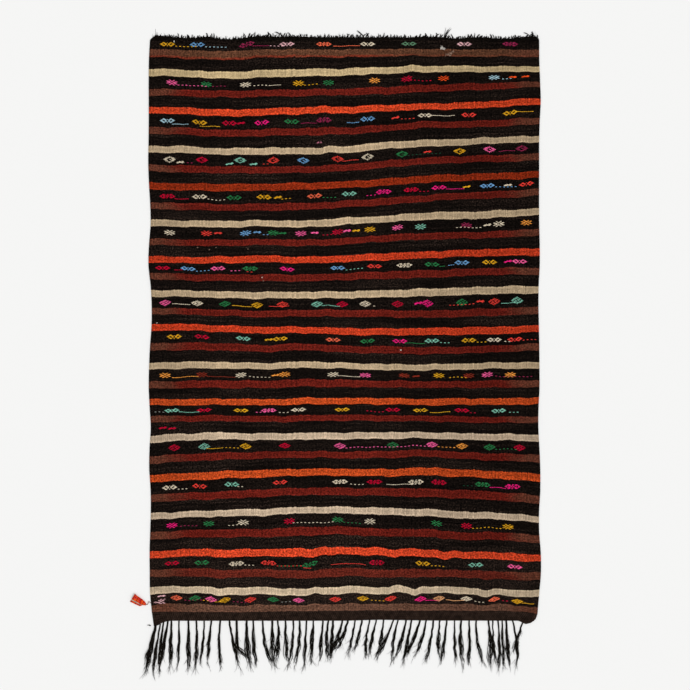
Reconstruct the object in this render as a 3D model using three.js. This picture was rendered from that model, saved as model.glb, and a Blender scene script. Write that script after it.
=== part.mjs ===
// Flat-woven jajim rug lying on a floor: a striped one-piece cloth, a plaited end band with its
// warp fringe, a frayed end, and a small cloth charm tied to one selvedge.
// Millimetres. X runs across the rug and Y along it, with Y = 0 at the foot of the plaited band,
// until the whole group is moved so that its origin lies under the middle of the rug.
import * as THREE from 'three';

// Driving sizes
const weaveTop = 2534;            // foot of the plaited band to the head of the frayed strip
const clothThickness = 2.5;
const bandThickness = 5;          // plaited band
const frayStrip = 11;             // height of the strip that the short tufts are rooted in
const pieceGap = 0.3;             // clear space between neighbouring pieces
const columns = 42;               // cloth grid, across
const rows = 28;                  // cloth grid, along

// Selvedges: how far each side edge lies from the rug's middle line at a height along the rug
const selvedges = [
  { y: -40, left: -831, right: 832 },
  { y: 30, left: -838, right: 836 },
  { y: 76, left: -842, right: 840 },
  { y: 130, left: -847, right: 844 },
  { y: 235, left: -848, right: 852 },
  { y: 328, left: -848, right: 848 },
  { y: 428, left: -844, right: 841 },
  { y: 520, left: -843, right: 846 },
  { y: 611, left: -846, right: 849 },
  { y: 705, left: -852, right: 846 },
  { y: 785, left: -845, right: 843 },
  { y: 870, left: -844, right: 838 },
  { y: 985, left: -852, right: 844 },
  { y: 1165, left: -848, right: 844 },
  { y: 1285, left: -840, right: 842 },
  { y: 1420, left: -841, right: 840 },
  { y: 1567, left: -854, right: 846 },
  { y: 1741, left: -844, right: 843 },
  { y: 1972, left: -854, right: 843 },
  { y: 2133, left: -852, right: 844 },
  { y: 2263, left: -852, right: 850 },
  { y: 2415, left: -852, right: 844 },
  { y: 2500, left: -848, right: 844 },
  { y: 2560, left: -845, right: 842 },
];

// Line where the cloth ends and the plaited band begins
const bandHead = [
  { x: -860, y: 37 },
  { x: -520, y: 35 },
  { x: 0, y: 42 },
  { x: 600, y: 41 },
  { x: 790, y: 36 },
  { x: 860, y: 22 },
];

// Foot of the plaited band, with a drooping lobe at each corner
const bandFoot = [
  { x: -830, y: -25 },
  { x: -812, y: -19 },
  { x: -795, y: -9 },
  { x: -774, y: -2 },
  { x: -750, y: 0 },
  { x: 0, y: 0 },
  { x: 150, y: 4 },
  { x: 350, y: 1 },
  { x: 755, y: 0 },
  { x: 785, y: -15 },
  { x: 809, y: -9 },
  { x: 828, y: 6 },
];

// Fringe by section: where its first and last strands hang from, how many there are, how far
// their tips lean towards +X and how long they hang
const fringe = [
  { from: -819, to: -819, count: 1, lean: -44, hang: 214 },
  { from: -805, to: -792, count: 2, lean: -22, hang: 226 },
  { from: -770, to: -752, count: 2, lean: -6, hang: 214 },
  { from: -723, to: -580, count: 5, lean: -9, hang: 210 },
  { from: -541, to: -427, count: 4, lean: 22, hang: 204 },
  { from: -398, to: -226, count: 6, lean: 14, hang: 187 },
  { from: -196, to: -53, count: 6, lean: -10, hang: 176 },
  { from: -15, to: 134, count: 6, lean: -32, hang: 150 },
  { from: 167, to: 384, count: 8, lean: -40, hang: 166 },
  { from: 414, to: 539, count: 5, lean: -2, hang: 182 },
  { from: 570, to: 730, count: 6, lean: 15, hang: 206 },
  { from: 774, to: 774, count: 1, lean: -24, hang: 150 },
];

// One strand from its root (along: 0) to its tip (along: 1): half its width and its thickness
const strandProfile = [
  { along: 0, half: 4.2, thick: 4.5 },
  { along: 0.25, half: 4.6, thick: 4 },
  { along: 0.5, half: 5.6, thick: 3.6 },
  { along: 0.8, half: 5.2, thick: 3 },
  { along: 1, half: 1.4, thick: 1.6 },
];

const freePitch = 22;             // strands hanging at least this far apart have their full width
const unevenLean = 7;             // how much neighbouring strands differ in lean and in bow
const unevenHang = 26;            // and in length

// Short tufts of the frayed end
const tufts = {
  count: 100,
  base: 8,                        // width at the root
  shortest: 8,
  longest: 22,
  lean: 7,                        // most that a tip leans either way
  tipThickness: 1,
  tall: { x: 431, height: 52 },   // the one long tuft that stands out of the row
  corner: 14,                     // how far the strip's corners are cut back
};

// Low buckles of the cloth: centre across, stretch along the rug, half width and height. The
// cloth lies flat on the floor everywhere else.
const buckles = [
  { x: -545, from: 60, to: 330, half: 75, lift: 4 },
  { x: -125, from: 70, to: 400, half: 80, lift: 5 },
  { x: 85, from: 90, to: 360, half: 60, lift: 4 },
  { x: 240, from: 60, to: 420, half: 70, lift: 6 },
  { x: 430, from: 110, to: 450, half: 70, lift: 5 },
  { x: 640, from: 60, to: 300, half: 70, lift: 4 },
  { x: -520, from: 1800, to: 2440, half: 110, lift: 4 },
  { x: 300, from: 2050, to: 2460, half: 100, lift: 4 },
  { x: 200, from: 1480, to: 1960, half: 90, lift: 3 },
];

// Charm: a scrap of cloth folded along its upper edge and gathered to a neck. Each section goes
// from the open mouth to the neck, with its fold point, its lower free edge, the radius of the
// fold and how far across the upper leaf reaches (1 is as far as the lower leaf)
const charmSections = [
  { foldX: -913, foldY: 117, edgeX: -934, edgeY: 83, foldRadius: 4.4, leaf: 0.72 },
  { foldX: -903, foldY: 107, edgeX: -919, edgeY: 76, foldRadius: 4.2, leaf: 0.7 },
  { foldX: -892, foldY: 100, edgeX: -904, edgeY: 69, foldRadius: 3.6, leaf: 0.66 },
  { foldX: -881, foldY: 92, edgeX: -891, edgeY: 64, foldRadius: 2.9, leaf: 0.7 },
  { foldX: -872, foldY: 84, edgeX: -880, edgeY: 68, foldRadius: 2, leaf: 0.8 },
  { foldX: -865, foldY: 75, edgeX: -866.5, edgeY: 67, foldRadius: 0.95, leaf: 0.95 },
];
const charmThickness = 1.2;
const legSteps = 4;               // steps across each leaf
const foldSteps = 6;              // steps round the fold

// Thread: from the selvedge to the charm's neck, in one loose wave
const threadDiameter = 2;
const threadRoute = [
  { x: -842.9, y: 76, z: 1.4 },
  { x: -846, y: 77.4, z: 1.8 },
  { x: -849, y: 80.6, z: 2.2 },
  { x: -852.2, y: 82, z: 2.2 },
  { x: -855, y: 79.6, z: 2 },
  { x: -856.2, y: 75, z: 1.7 },
  { x: -857.6, y: 70.8, z: 1.6 },
  { x: -860.4, y: 69.4, z: 1.6 },
  { x: -863, y: 70.3, z: 1.6 },
  { x: -865.4, y: 71, z: 1.6 },
];
const threadSides = 8;
const threadSteps = 14;

const finishes = {
  cloth: new THREE.MeshStandardMaterial({ color: 0x3a1a14, roughness: 0.95, metalness: 0 }),
  warp: new THREE.MeshStandardMaterial({ color: 0x1a1512, roughness: 0.95, metalness: 0 }),
  charm: new THREE.MeshStandardMaterial({ color: 0xc8371c, roughness: 0.9, metalness: 0 }),
  thread: new THREE.MeshStandardMaterial({ color: 0x7a3a24, roughness: 0.9, metalness: 0 }),
};

// Even random numbers from 0 to 1, the same in each run
function seededRandom(seed) {
  let state = seed;
  return () => {
    state = (state * 16807) % 2147483647;
    return state / 2147483647;
  };
}

// Value of one column of a table at a place between its rows, on a curve through the rows
function readTable(table, place, value, at) {
  const last = table.length - 1;
  const spot = THREE.MathUtils.clamp(at, table[0][place], table[last][place]);
  let low = 0;
  while (low < last - 1 && table[low + 1][place] < spot) low += 1;
  const slope = (k) => {
    const before = table[Math.max(k - 1, 0)];
    const after = table[Math.min(k + 1, last)];
    return (after[value] - before[value]) / (after[place] - before[place]);
  };
  const a = table[low];
  const b = table[low + 1];
  const span = b[place] - a[place];
  const t = (spot - a[place]) / span;
  const bend = t * t * (3 - 2 * t);
  const leave = t * (1 - t) * (1 - t) * slope(low) * span;
  const arrive = t * t * (1 - t) * slope(low + 1) * span;
  return a[value] + (b[value] - a[value]) * bend + leave - arrive;
}

const leftEdge = (y) => readTable(selvedges, 'y', 'left', y);
const rightEdge = (y) => readTable(selvedges, 'y', 'right', y);
const headOfBand = (x) => readTable(bandHead, 'x', 'y', x);

// Place across the rug of a grid column at height y
function acrossAt(column, y) {
  return THREE.MathUtils.lerp(leftEdge(y), rightEdge(y), column / columns);
}

// Points of the cloth's foot and head, one for each grid column
function clothEnd(heightAt) {
  const points = [];
  for (let column = 0; column <= columns; column += 1) {
    const y = heightAt(acrossAt(column, heightAt(0)));
    points.push(new THREE.Vector2(acrossAt(column, y), y));
  }
  return points;
}

const footLine = clothEnd(headOfBand);
const headLine = clothEnd(() => weaveTop - frayStrip);

// Height of the cloth's underside above the floor: every buckle is a smooth hump
function liftAt(x, y) {
  const hump = (t) => (Math.abs(t) < 1 ? (1 - t * t) ** 2 : 0);
  return buckles.reduce((sum, b) => {
    const middle = (b.from + b.to) / 2;
    const reach = (b.to - b.from) / 2;
    return sum + b.lift * hump((x - b.x) / b.half) * hump((y - middle) / reach);
  }, 0);
}

// Closed shell between an upper and a lower grid of points with the same layout
function shellBetween(upper, lower, across, along) {
  const points = [...upper, ...lower];
  const index = [];
  const quad = (a, b, c, d) => index.push(a, b, c, a, c, d);
  const top = (i, j) => j * (across + 1) + i;
  const under = (i, j) => upper.length + top(i, j);
  for (let j = 0; j < along; j += 1) {
    for (let i = 0; i < across; i += 1) {
      quad(top(i, j), top(i + 1, j), top(i + 1, j + 1), top(i, j + 1));
      quad(under(i, j), under(i, j + 1), under(i + 1, j + 1), under(i + 1, j));
    }
  }
  for (let i = 0; i < across; i += 1) {
    quad(top(i, 0), under(i, 0), under(i + 1, 0), top(i + 1, 0));
    quad(top(i, along), top(i + 1, along), under(i + 1, along), under(i, along));
  }
  for (let j = 0; j < along; j += 1) {
    quad(top(0, j), top(0, j + 1), under(0, j + 1), under(0, j));
    quad(top(across, j), under(across, j), under(across, j + 1), top(across, j + 1));
  }
  const geometry = new THREE.BufferGeometry().setFromPoints(points);
  geometry.setIndex(index);
  geometry.computeVertexNormals();
  return geometry;
}

function makeCloth() {
  const upper = [];
  const lower = [];
  for (let row = 0; row <= rows; row += 1) {
    for (let column = 0; column <= columns; column += 1) {
      const foot = footLine[column].y + pieceGap;
      const head = headLine[column].y;
      const y = THREE.MathUtils.lerp(foot, head, row / rows);
      const edge = row === 0 || row === rows;
      const x = edge ? (row === 0 ? footLine : headLine)[column].x : acrossAt(column, y);
      const z = edge ? 0 : liftAt(x, y);
      lower.push(new THREE.Vector3(x, y, z));
      upper.push(new THREE.Vector3(x, y, z + clothThickness));
    }
  }
  return new THREE.Mesh(shellBetween(upper, lower, columns, rows), finishes.cloth);
}

// Upright slab of an outline, its upper face set to a height for each of its points
function slabOf(outline, heightAt) {
  const geometry = new THREE.ExtrudeGeometry(new THREE.Shape(outline), {
    depth: 1,
    bevelEnabled: false,
    steps: 1,
  });
  const place = geometry.attributes.position;
  for (let k = 0; k < place.count; k += 1) {
    if (place.getZ(k) > 0.5) place.setZ(k, heightAt(place.getX(k), place.getY(k)));
  }
  geometry.computeVertexNormals();
  return geometry;
}

// Outline of one hanging strand, down its left side and up its right side. Strands that hang
// close together are slimmer, so that they stay apart down to their tips.
function strandOutline({ root, foot, lean, hang, sway, slim }) {
  const left = [];
  const right = [];
  strandProfile.forEach(({ along, half }) => {
    const bow = Math.sin(Math.PI * along) * sway;
    const x = root + lean * along ** 1.3 + bow;
    const y = foot - hang * along;
    left.push(new THREE.Vector2(x - half * slim, y));
    right.push(new THREE.Vector2(x + half * slim, y));
  });
  return [...left, ...right.reverse()];
}

function makePlaitedEnd() {
  const random = seededRandom(41);
  const outline = [];
  const roots = fringe.flatMap(({ from, to, count }) => Array.from({ length: count },
    (_, k) => THREE.MathUtils.lerp(from, to, count > 1 ? k / (count - 1) : 0)));
  const sectionMiddles = fringe.map((row) => ({ ...row, x: (row.from + row.to) / 2 }));
  const corners = bandFoot.map(({ x, y }) => new THREE.Vector2(x, y));
  const footAt = (x) => readTable(bandFoot, 'x', 'y', x);
  const rootHalf = strandProfile[0].half;
  roots.forEach((root, k) => {
    while (corners.length && corners[0].x < root + rootHalf) {
      const corner = corners.shift();
      if (corner.x < root - rootHalf) outline.push(corner);
    }
    const nearest = Math.min(root - (roots[k - 1] ?? -Infinity), (roots[k + 1] ?? Infinity) - root);
    const slim = Math.min(1, nearest / freePitch);
    const lean = readTable(sectionMiddles, 'x', 'lean', root) + (random() - 0.5) * unevenLean * slim;
    const hang = readTable(sectionMiddles, 'x', 'hang', root) + (random() - 0.5) * unevenHang;
    const sway = (random() - 0.5) * unevenLean * slim;
    outline.push(...strandOutline({ root, foot: footAt(root), lean, hang, sway, slim }));
  });
  outline.push(...corners);
  outline.push(...footLine.slice().reverse());
  const heightAt = (x, y) => {
    const below = footAt(x) - y;
    if (y > -30 && below < 12) return below > 0.5 ? strandProfile[0].thick : bandThickness;
    const along = below / readTable(sectionMiddles, 'x', 'hang', x);
    return readTable(strandProfile, 'along', 'thick', along);
  };
  return new THREE.Mesh(slabOf(outline, heightAt), finishes.warp);
}

function makeFrayedEnd() {
  const random = seededRandom(17);
  const outline = headLine.map(({ x, y }) => new THREE.Vector2(x, y + pieceGap));
  const start = rightEdge(weaveTop);
  const end = leftEdge(weaveTop);
  const { corner, base, lean, shortest, longest, tall } = tufts;
  const pitch = (start - end - 2 * corner) / tufts.count;
  outline.push(new THREE.Vector2(start, weaveTop - frayStrip / 3));
  for (let k = 0; k < tufts.count; k += 1) {
    const x = start - corner - pitch * (k + 0.5);
    const isTall = Math.abs(x - tall.x) < pitch / 2;
    const height = isTall ? tall.height : THREE.MathUtils.lerp(shortest, longest, random() ** 1.5);
    const tip = x + (random() - 0.5) * 2 * lean;
    outline.push(new THREE.Vector2(x + base / 2, weaveTop));
    outline.push(new THREE.Vector2(tip + 0.8, weaveTop + height));
    outline.push(new THREE.Vector2(tip - 0.8, weaveTop + height));
    outline.push(new THREE.Vector2(x - base / 2, weaveTop));
  }
  outline.push(new THREE.Vector2(end, weaveTop - frayStrip / 3));
  const heightAt = (x, y) => (y > weaveTop + 1 ? tufts.tipThickness : clothThickness);
  return new THREE.Mesh(slabOf(outline, heightAt), finishes.warp);
}

// Section of the charm, round its hairpin: points at a distance off the middle of its cloth
function charmSection({ foldX, foldY, edgeX, edgeY, foldRadius, leaf }, off) {
  const fold = new THREE.Vector2(foldX, foldY);
  const edge = new THREE.Vector2(edgeX, edgeY);
  const width = fold.distanceTo(edge);
  const way = edge.clone().sub(fold).divideScalar(width);
  const lowest = charmThickness / 2;
  const middle = lowest + foldRadius;
  const at = (across, z) => {
    const spot = fold.clone().addScaledVector(way, across);
    return new THREE.Vector3(spot.x, spot.y, z);
  };
  const points = [];
  for (let k = 0; k <= legSteps; k += 1) {
    const across = THREE.MathUtils.lerp(width, foldRadius, k / legSteps);
    points.push(at(across, lowest + off));
  }
  for (let k = 1; k < foldSteps; k += 1) {
    const turn = Math.PI * (k / foldSteps);
    const radius = foldRadius - off;
    points.push(at(foldRadius - radius * Math.sin(turn), middle - radius * Math.cos(turn)));
  }
  for (let k = 0; k <= legSteps; k += 1) {
    const across = THREE.MathUtils.lerp(foldRadius, width * leaf, k / legSteps);
    points.push(at(across, middle + foldRadius - off));
  }
  return points;
}

function makeCharm() {
  const across = 2 * legSteps + foldSteps;
  const inner = charmSections.flatMap((row) => charmSection(row, charmThickness / 2));
  const outer = charmSections.flatMap((row) => charmSection(row, -charmThickness / 2));
  const geometry = shellBetween(outer, inner, across, charmSections.length - 1);
  return new THREE.Mesh(geometry, finishes.charm);
}

function makeCharmThread() {
  const route = new THREE.CatmullRomCurve3(
    threadRoute.map(({ x, y, z }) => new THREE.Vector3(x, y, z)));
  const section = new THREE.Shape();
  for (let k = 0; k < threadSides; k += 1) {
    const turn = (2 * Math.PI * (k + 0.5)) / threadSides;
    const x = (threadDiameter / 2) * Math.cos(turn);
    const y = (threadDiameter / 2) * Math.sin(turn);
    if (k === 0) section.moveTo(x, y);
    else section.lineTo(x, y);
  }
  section.closePath();
  const geometry = new THREE.ExtrudeGeometry(section, {
    steps: threadSteps,
    extrudePath: route,
    bevelEnabled: false,
  });
  return new THREE.Mesh(geometry, finishes.thread);
}

const pieces = {
  cloth: makeCloth(),
  plaited_end: makePlaitedEnd(),
  frayed_end: makeFrayedEnd(),
  charm: makeCharm(),
  charm_thread: makeCharmThread(),
};

const rug = new THREE.Group();
Object.entries(pieces).forEach(([name, mesh]) => {
  mesh.name = name;
  rug.add(mesh);
});

// The origin lies on the floor under the middle of the rug, leaving its loose thread out
const reach = new THREE.Box3();
Object.entries(pieces).forEach(([name, mesh]) => {
  if (name !== 'charm_thread') reach.expandByObject(mesh);
});
const middle = reach.getCenter(new THREE.Vector3());
rug.position.set(-middle.x, -middle.y, 0);
rug.updateMatrixWorld(true);

export default rug;
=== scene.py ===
# Jajim rug, laid flat: a striped weft-faced weave with brocaded figures, a plaited foot with its
# warp fringe, a frayed head, and a folded cloth charm tied to one selvedge
import bpy
import numpy as np
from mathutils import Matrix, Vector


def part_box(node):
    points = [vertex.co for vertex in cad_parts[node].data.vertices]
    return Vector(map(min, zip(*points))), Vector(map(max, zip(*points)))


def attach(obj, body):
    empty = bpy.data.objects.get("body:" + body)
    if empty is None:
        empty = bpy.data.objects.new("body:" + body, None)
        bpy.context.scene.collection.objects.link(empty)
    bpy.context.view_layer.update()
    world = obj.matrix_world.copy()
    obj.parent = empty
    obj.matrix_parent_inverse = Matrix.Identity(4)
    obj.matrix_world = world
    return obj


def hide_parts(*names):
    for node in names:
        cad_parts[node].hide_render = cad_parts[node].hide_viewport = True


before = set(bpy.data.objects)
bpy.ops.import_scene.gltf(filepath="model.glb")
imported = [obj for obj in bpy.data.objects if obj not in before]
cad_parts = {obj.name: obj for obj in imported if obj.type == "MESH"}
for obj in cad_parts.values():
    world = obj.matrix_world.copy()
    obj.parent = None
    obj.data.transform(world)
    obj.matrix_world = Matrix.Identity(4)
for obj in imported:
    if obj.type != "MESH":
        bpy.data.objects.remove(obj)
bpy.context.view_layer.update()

mm = 0.001
cm = 0.01
chartZero = (0.041688, -1.16907)  # middle of the band's foot in the frame, where the chart starts


def onChart(x, y):
    # chart sizes in millimetres, across and up from the band's foot, to metres in the frame
    return chartZero[0] + np.asarray(x, float) * mm, chartZero[1] + np.asarray(y, float) * mm


def smooth(knots, values, at):
    # cubic through the knots, each slope a weighted mean of its two chords, held level past the ends
    knots, values = np.asarray(knots, float), np.asarray(values, float)
    at = np.clip(at, knots[0], knots[-1])
    slopes = np.gradient(values, knots, axis=-1)
    low = np.clip(np.searchsorted(knots, at, side="right") - 1, 0, len(knots) - 2)
    span = knots[low + 1] - knots[low]
    t = (at - knots[low]) / span
    ease = t * t * (3 - 2 * t)
    leave = t * (1 - t) ** 2 * span * slopes[..., low]
    arrive = t * t * (1 - t) * span * slopes[..., low + 1]
    return values[..., low] * (1 - ease) + values[..., low + 1] * ease + leave - arrive


def hump(t):
    # (1 - t squared) squared within one unit of the middle, nothing outside it
    return np.where(np.abs(t) < 1, (1 - t * t) ** 2, 0.0)


# Camera, floor and light
view = {"centre": (0, 1197.9), "height": 6.0, "lens": 72.0, "sensor": 36.0}
stage = {"floorHalf": 200.0, "floorDrop": 0.3 * mm, "floorTone": 0.895, "skyGlow": 0.78,
         "seenSky": 0.905, "sunPower": 0.95, "sunTurn": (0.62, 0.0, 0.9), "sunAngle": 0.6}


def makeCamera():
    # straight above the middle of the picture, so that it takes in 3 m of floor
    camera = bpy.data.objects.new("camera", bpy.data.cameras.new("camera"))
    camera.data.lens, camera.data.sensor_width = view["lens"], view["sensor"]
    camera.location = (*onChart(*view["centre"]), view["height"])
    bpy.context.scene.collection.objects.link(camera)
    bpy.context.scene.camera = camera
    bpy.context.scene.view_settings.view_transform = "Standard"


makeCamera()
print("camera made")


# Node trees
def addNode(tree, kind, inputs=None, **settings):
    # one node: an input that is a socket is linked, any other is the socket's own value
    node = tree.nodes.new("ShaderNode" + kind)
    for name, value in settings.items():
        setattr(node, name, value)
    for name, value in (inputs or {}).items():
        if isinstance(value, bpy.types.NodeSocket):
            tree.links.new(value, node.inputs[name])
        else:
            node.inputs[name].default_value = value
    return node


def calc(tree, operation, *values):
    # one sum, by the name of the Math node's operation
    return addNode(tree, "Math", dict(enumerate(values)), operation=operation).outputs[0]


def times(tree, total, *values):
    # product of all the values
    for value in values:
        total = calc(tree, "MULTIPLY", total, value)
    return total


def ease(tree, value, low, high, start=0.0, end=1.0):
    # smooth step of a value from start, at low, to end, at high
    inputs = {"Value": value, "From Min": low, "From Max": high, "To Min": start, "To Max": end}
    return addNode(tree, "MapRange", inputs, interpolation_type="SMOOTHSTEP").outputs[0]


def mix(tree, share, first, second):
    # first colour where the share is 0, second where it is 1
    inputs = {0: share, 6: first, 7: second}
    return addNode(tree, "Mix", inputs, data_type="RGBA").outputs[2]


def scaled(tree, vector, scale):
    # vector or colour times one number
    return addNode(tree, "VectorMath", {0: vector, "Scale": scale}, operation="SCALE").outputs[0]


def stretched(tree, vector, x, y):
    # vector with its first side times x and its second times y
    return addNode(tree, "VectorMath", {0: vector, 1: (x, y, 0.0)}, operation="MULTIPLY").outputs[0]


def noise(tree, vector, scale=1.0, detail=2.0, roughness=0.5):
    # soft random mask about 0.5
    inputs = {"Vector": vector, "Scale": scale, "Detail": detail, "Roughness": roughness}
    return addNode(tree, "TexNoise", inputs).outputs["Fac"]


def streaks(tree, vector, x, y, detail=2.0, roughness=0.5):
    # soft random mask with its own scale across and along
    return noise(tree, stretched(tree, vector, x, y), 1.0, detail, roughness)


def parts(tree, vector):
    # a vector's three numbers
    return addNode(tree, "SeparateXYZ", {0: vector}).outputs


def mapOf(tree):
    # the piece's own map: along or across the threads
    return addNode(tree, "UVMap", uv_map="yarnWay").outputs[0]


def bump(tree, height, depth):
    # normal from a height that goes from 0 to 1 over a real depth
    return addNode(tree, "Bump", {"Strength": 1.0, "Distance": depth, "Height": height}).outputs["Normal"]


def linear(code, alpha=1.0):
    # web colour to the linear one that shaders take
    shares = np.array([int(code[k:k + 2], 16) for k in (1, 3, 5)]) / 255
    return (*np.where(shares > 0.04045, ((shares + 0.055) / 1.055) ** 2.4, shares / 12.92), alpha)


def newGroup(name, inputs, outputs):
    # empty node group with named sockets: (name, kind, value) in, (name, kind) out
    tree = bpy.data.node_groups.new(name, "ShaderNodeTree")
    for label, kind, value in inputs:
        socket = tree.interface.new_socket(label, in_out="INPUT", socket_type="NodeSocket" + kind)
        if value is not None:
            socket.default_value = value
    for label, kind in outputs:
        tree.interface.new_socket(label, in_out="OUTPUT", socket_type="NodeSocket" + kind)
    return tree, tree.nodes.new("NodeGroupInput").outputs, tree.nodes.new("NodeGroupOutput").inputs


def useGroup(tree, group, inputs):
    # a group's outputs, once its inputs are linked or set
    return addNode(tree, "Group", inputs, node_tree=group).outputs


def newMaterial(name, roughness=0.95, specular=0.02):
    # matt wool: its even values are set on the shader's own sockets
    material = bpy.data.materials.new(name)
    material.use_nodes = True
    shader = material.node_tree.nodes["Principled BSDF"]
    shader.inputs["Roughness"].default_value = roughness
    shader.inputs["Specular IOR Level"].default_value = specular
    return material, material.node_tree, shader


def finishMaterial(tree, shader, colour, normal):
    # what varies over the surface goes to the shader
    tree.links.new(colour, shader.inputs["Base Color"])
    tree.links.new(normal, shader.inputs["Normal"])


def makeWeftFaced():
    # ribs over the warps, each beaded by its wefts, half a weft out of step with the next rib
    tree, given, made = newGroup(
        "weftFaced",
        [("Way", "Vector", None), ("Warp Pitch", "Float", 4 * mm), ("Weft Pitch", "Float", 1.5 * mm)],
        [("Height", "Float"), ("Warp", "Float")])
    apart = parts(tree, given["Way"])
    warp = calc(tree, "DIVIDE", apart[0], given["Warp Pitch"])
    weft = calc(tree, "DIVIDE", apart[1], given["Weft Pitch"])
    rib = calc(tree, "ABSOLUTE", calc(tree, "SINE", times(tree, warp, np.pi)))
    whole = calc(tree, "FLOOR", warp)
    step = times(tree, calc(tree, "FLOORED_MODULO", whole, 2.0), 0.5)
    turn = times(tree, calc(tree, "ADD", weft, step), 2 * np.pi)
    bead = calc(tree, "MULTIPLY_ADD", calc(tree, "COSINE", turn), 0.2, 0.8)
    fuzz = noise(tree, given["Way"], 1100.0, 3.0, 0.7)
    height = times(tree, calc(tree, "POWER", rib, 0.6), bead)
    tree.links.new(calc(tree, "MULTIPLY_ADD", fuzz, 0.25, height), made["Height"])
    dice = addNode(tree, "TexWhiteNoise", {"W": whole}, noise_dimensions="1D").outputs[0]
    tree.links.new(dice, made["Warp"])
    return tree


def makeSpunYarn():
    # two plies that wind round the yarn, and its loose fibres
    tree, given, made = newGroup(
        "spunYarn", [("Way", "Vector", None), ("Ply Length", "Float", 5 * mm)],
        [("Height", "Float"), ("Tone", "Float")])
    apart = parts(tree, given["Way"])
    along = calc(tree, "DIVIDE", apart[0], given["Ply Length"])
    turn = calc(tree, "MULTIPLY_ADD", apart[1], 2.0, along)
    ply = calc(tree, "ABSOLUTE", calc(tree, "SINE", times(tree, turn, np.pi)))
    place = addNode(tree, "TexCoord").outputs["Object"]
    fibre = noise(tree, place, 900.0, 3.0, 0.7)
    tree.links.new(calc(tree, "MULTIPLY_ADD", fibre, 0.35, ply), made["Height"])
    tree.links.new(noise(tree, place, 60.0, 4.0, 0.7), made["Tone"])
    return tree


weftFaced = makeWeftFaced()
spunYarn = makeSpunYarn()


def yarnMaterial(name, code, plyLength=5 * mm, depth=0.35 * mm, light=1.25, dark=0.7, flankShade=0.8):
    # one dyed yarn: its colour times how worn it is along its length, times painted shade that deepens
    # between its plies, and painted shade down its flanks, away from its top
    material, tree, shader = newMaterial(name)
    way = mapOf(tree)
    offTop = calc(tree, "ABSOLUTE", calc(tree, "SUBTRACT", parts(tree, way)[1], 0.25))
    yarn = useGroup(tree, spunYarn, {"Way": way, "Ply Length": plyLength})
    worn = ease(tree, yarn["Tone"], 0.3, 0.7, dark, light)
    # painted shade: darker in the grooves between the plies and down the yarn's flanks, away from its top
    grooveShade = ease(tree, yarn["Height"], 0.1, 0.8, 0.72, 1.0)
    shade = times(tree, worn, grooveShade, ease(tree, offTop, 0.08, 0.22, 1.0, flankShade))
    finishMaterial(tree, shader, scaled(tree, linear(code)[:3], shade), bump(tree, yarn["Height"], depth))
    return material


# Meshes
def fillMesh(name, points, faces, places):
    # one smooth mesh: its points, its faces in arrays of one corner count each, and the corners' uv
    mesh = bpy.data.meshes.new(name)
    corners = np.concatenate([f.reshape(-1) for f in faces]).astype(np.int32)
    sizes = np.concatenate([np.full(len(f), f.shape[1]) for f in faces])
    starts = np.concatenate([[0], np.cumsum(sizes)[:-1]]).astype(np.int32)
    mesh.vertices.add(len(points))
    mesh.vertices.foreach_set("co", np.asarray(points, np.float32).reshape(-1))
    mesh.loops.add(len(corners))
    mesh.loops.foreach_set("vertex_index", corners)
    mesh.polygons.add(len(sizes))
    mesh.polygons.foreach_set("loop_start", starts)
    mesh.update(calc_edges=True)
    spots = np.concatenate([p.reshape(-1, 2) for p in places]).astype(np.float32)
    mesh.uv_layers.new(name="yarnWay").data.foreach_set("uv", spots.reshape(-1))
    mesh.polygons.foreach_set("use_smooth", np.ones(len(sizes), bool))
    mesh.validate()
    return mesh


def joined(shapes):
    # shapes, each (points, faces, places), as one with its corner numbers moved on
    points, faces, places, first = [], [], [], 0
    for shapePoints, shapeFaces, shapePlaces in shapes:
        points.append(shapePoints)
        faces += [f + first for f in shapeFaces]
        places += shapePlaces
        first += len(shapePoints)
    return np.concatenate(points), faces, places


def unit(vectors):
    # vectors over their own lengths
    return vectors / (np.linalg.norm(vectors, axis=-1, keepdims=True) + 1e-12)


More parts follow.
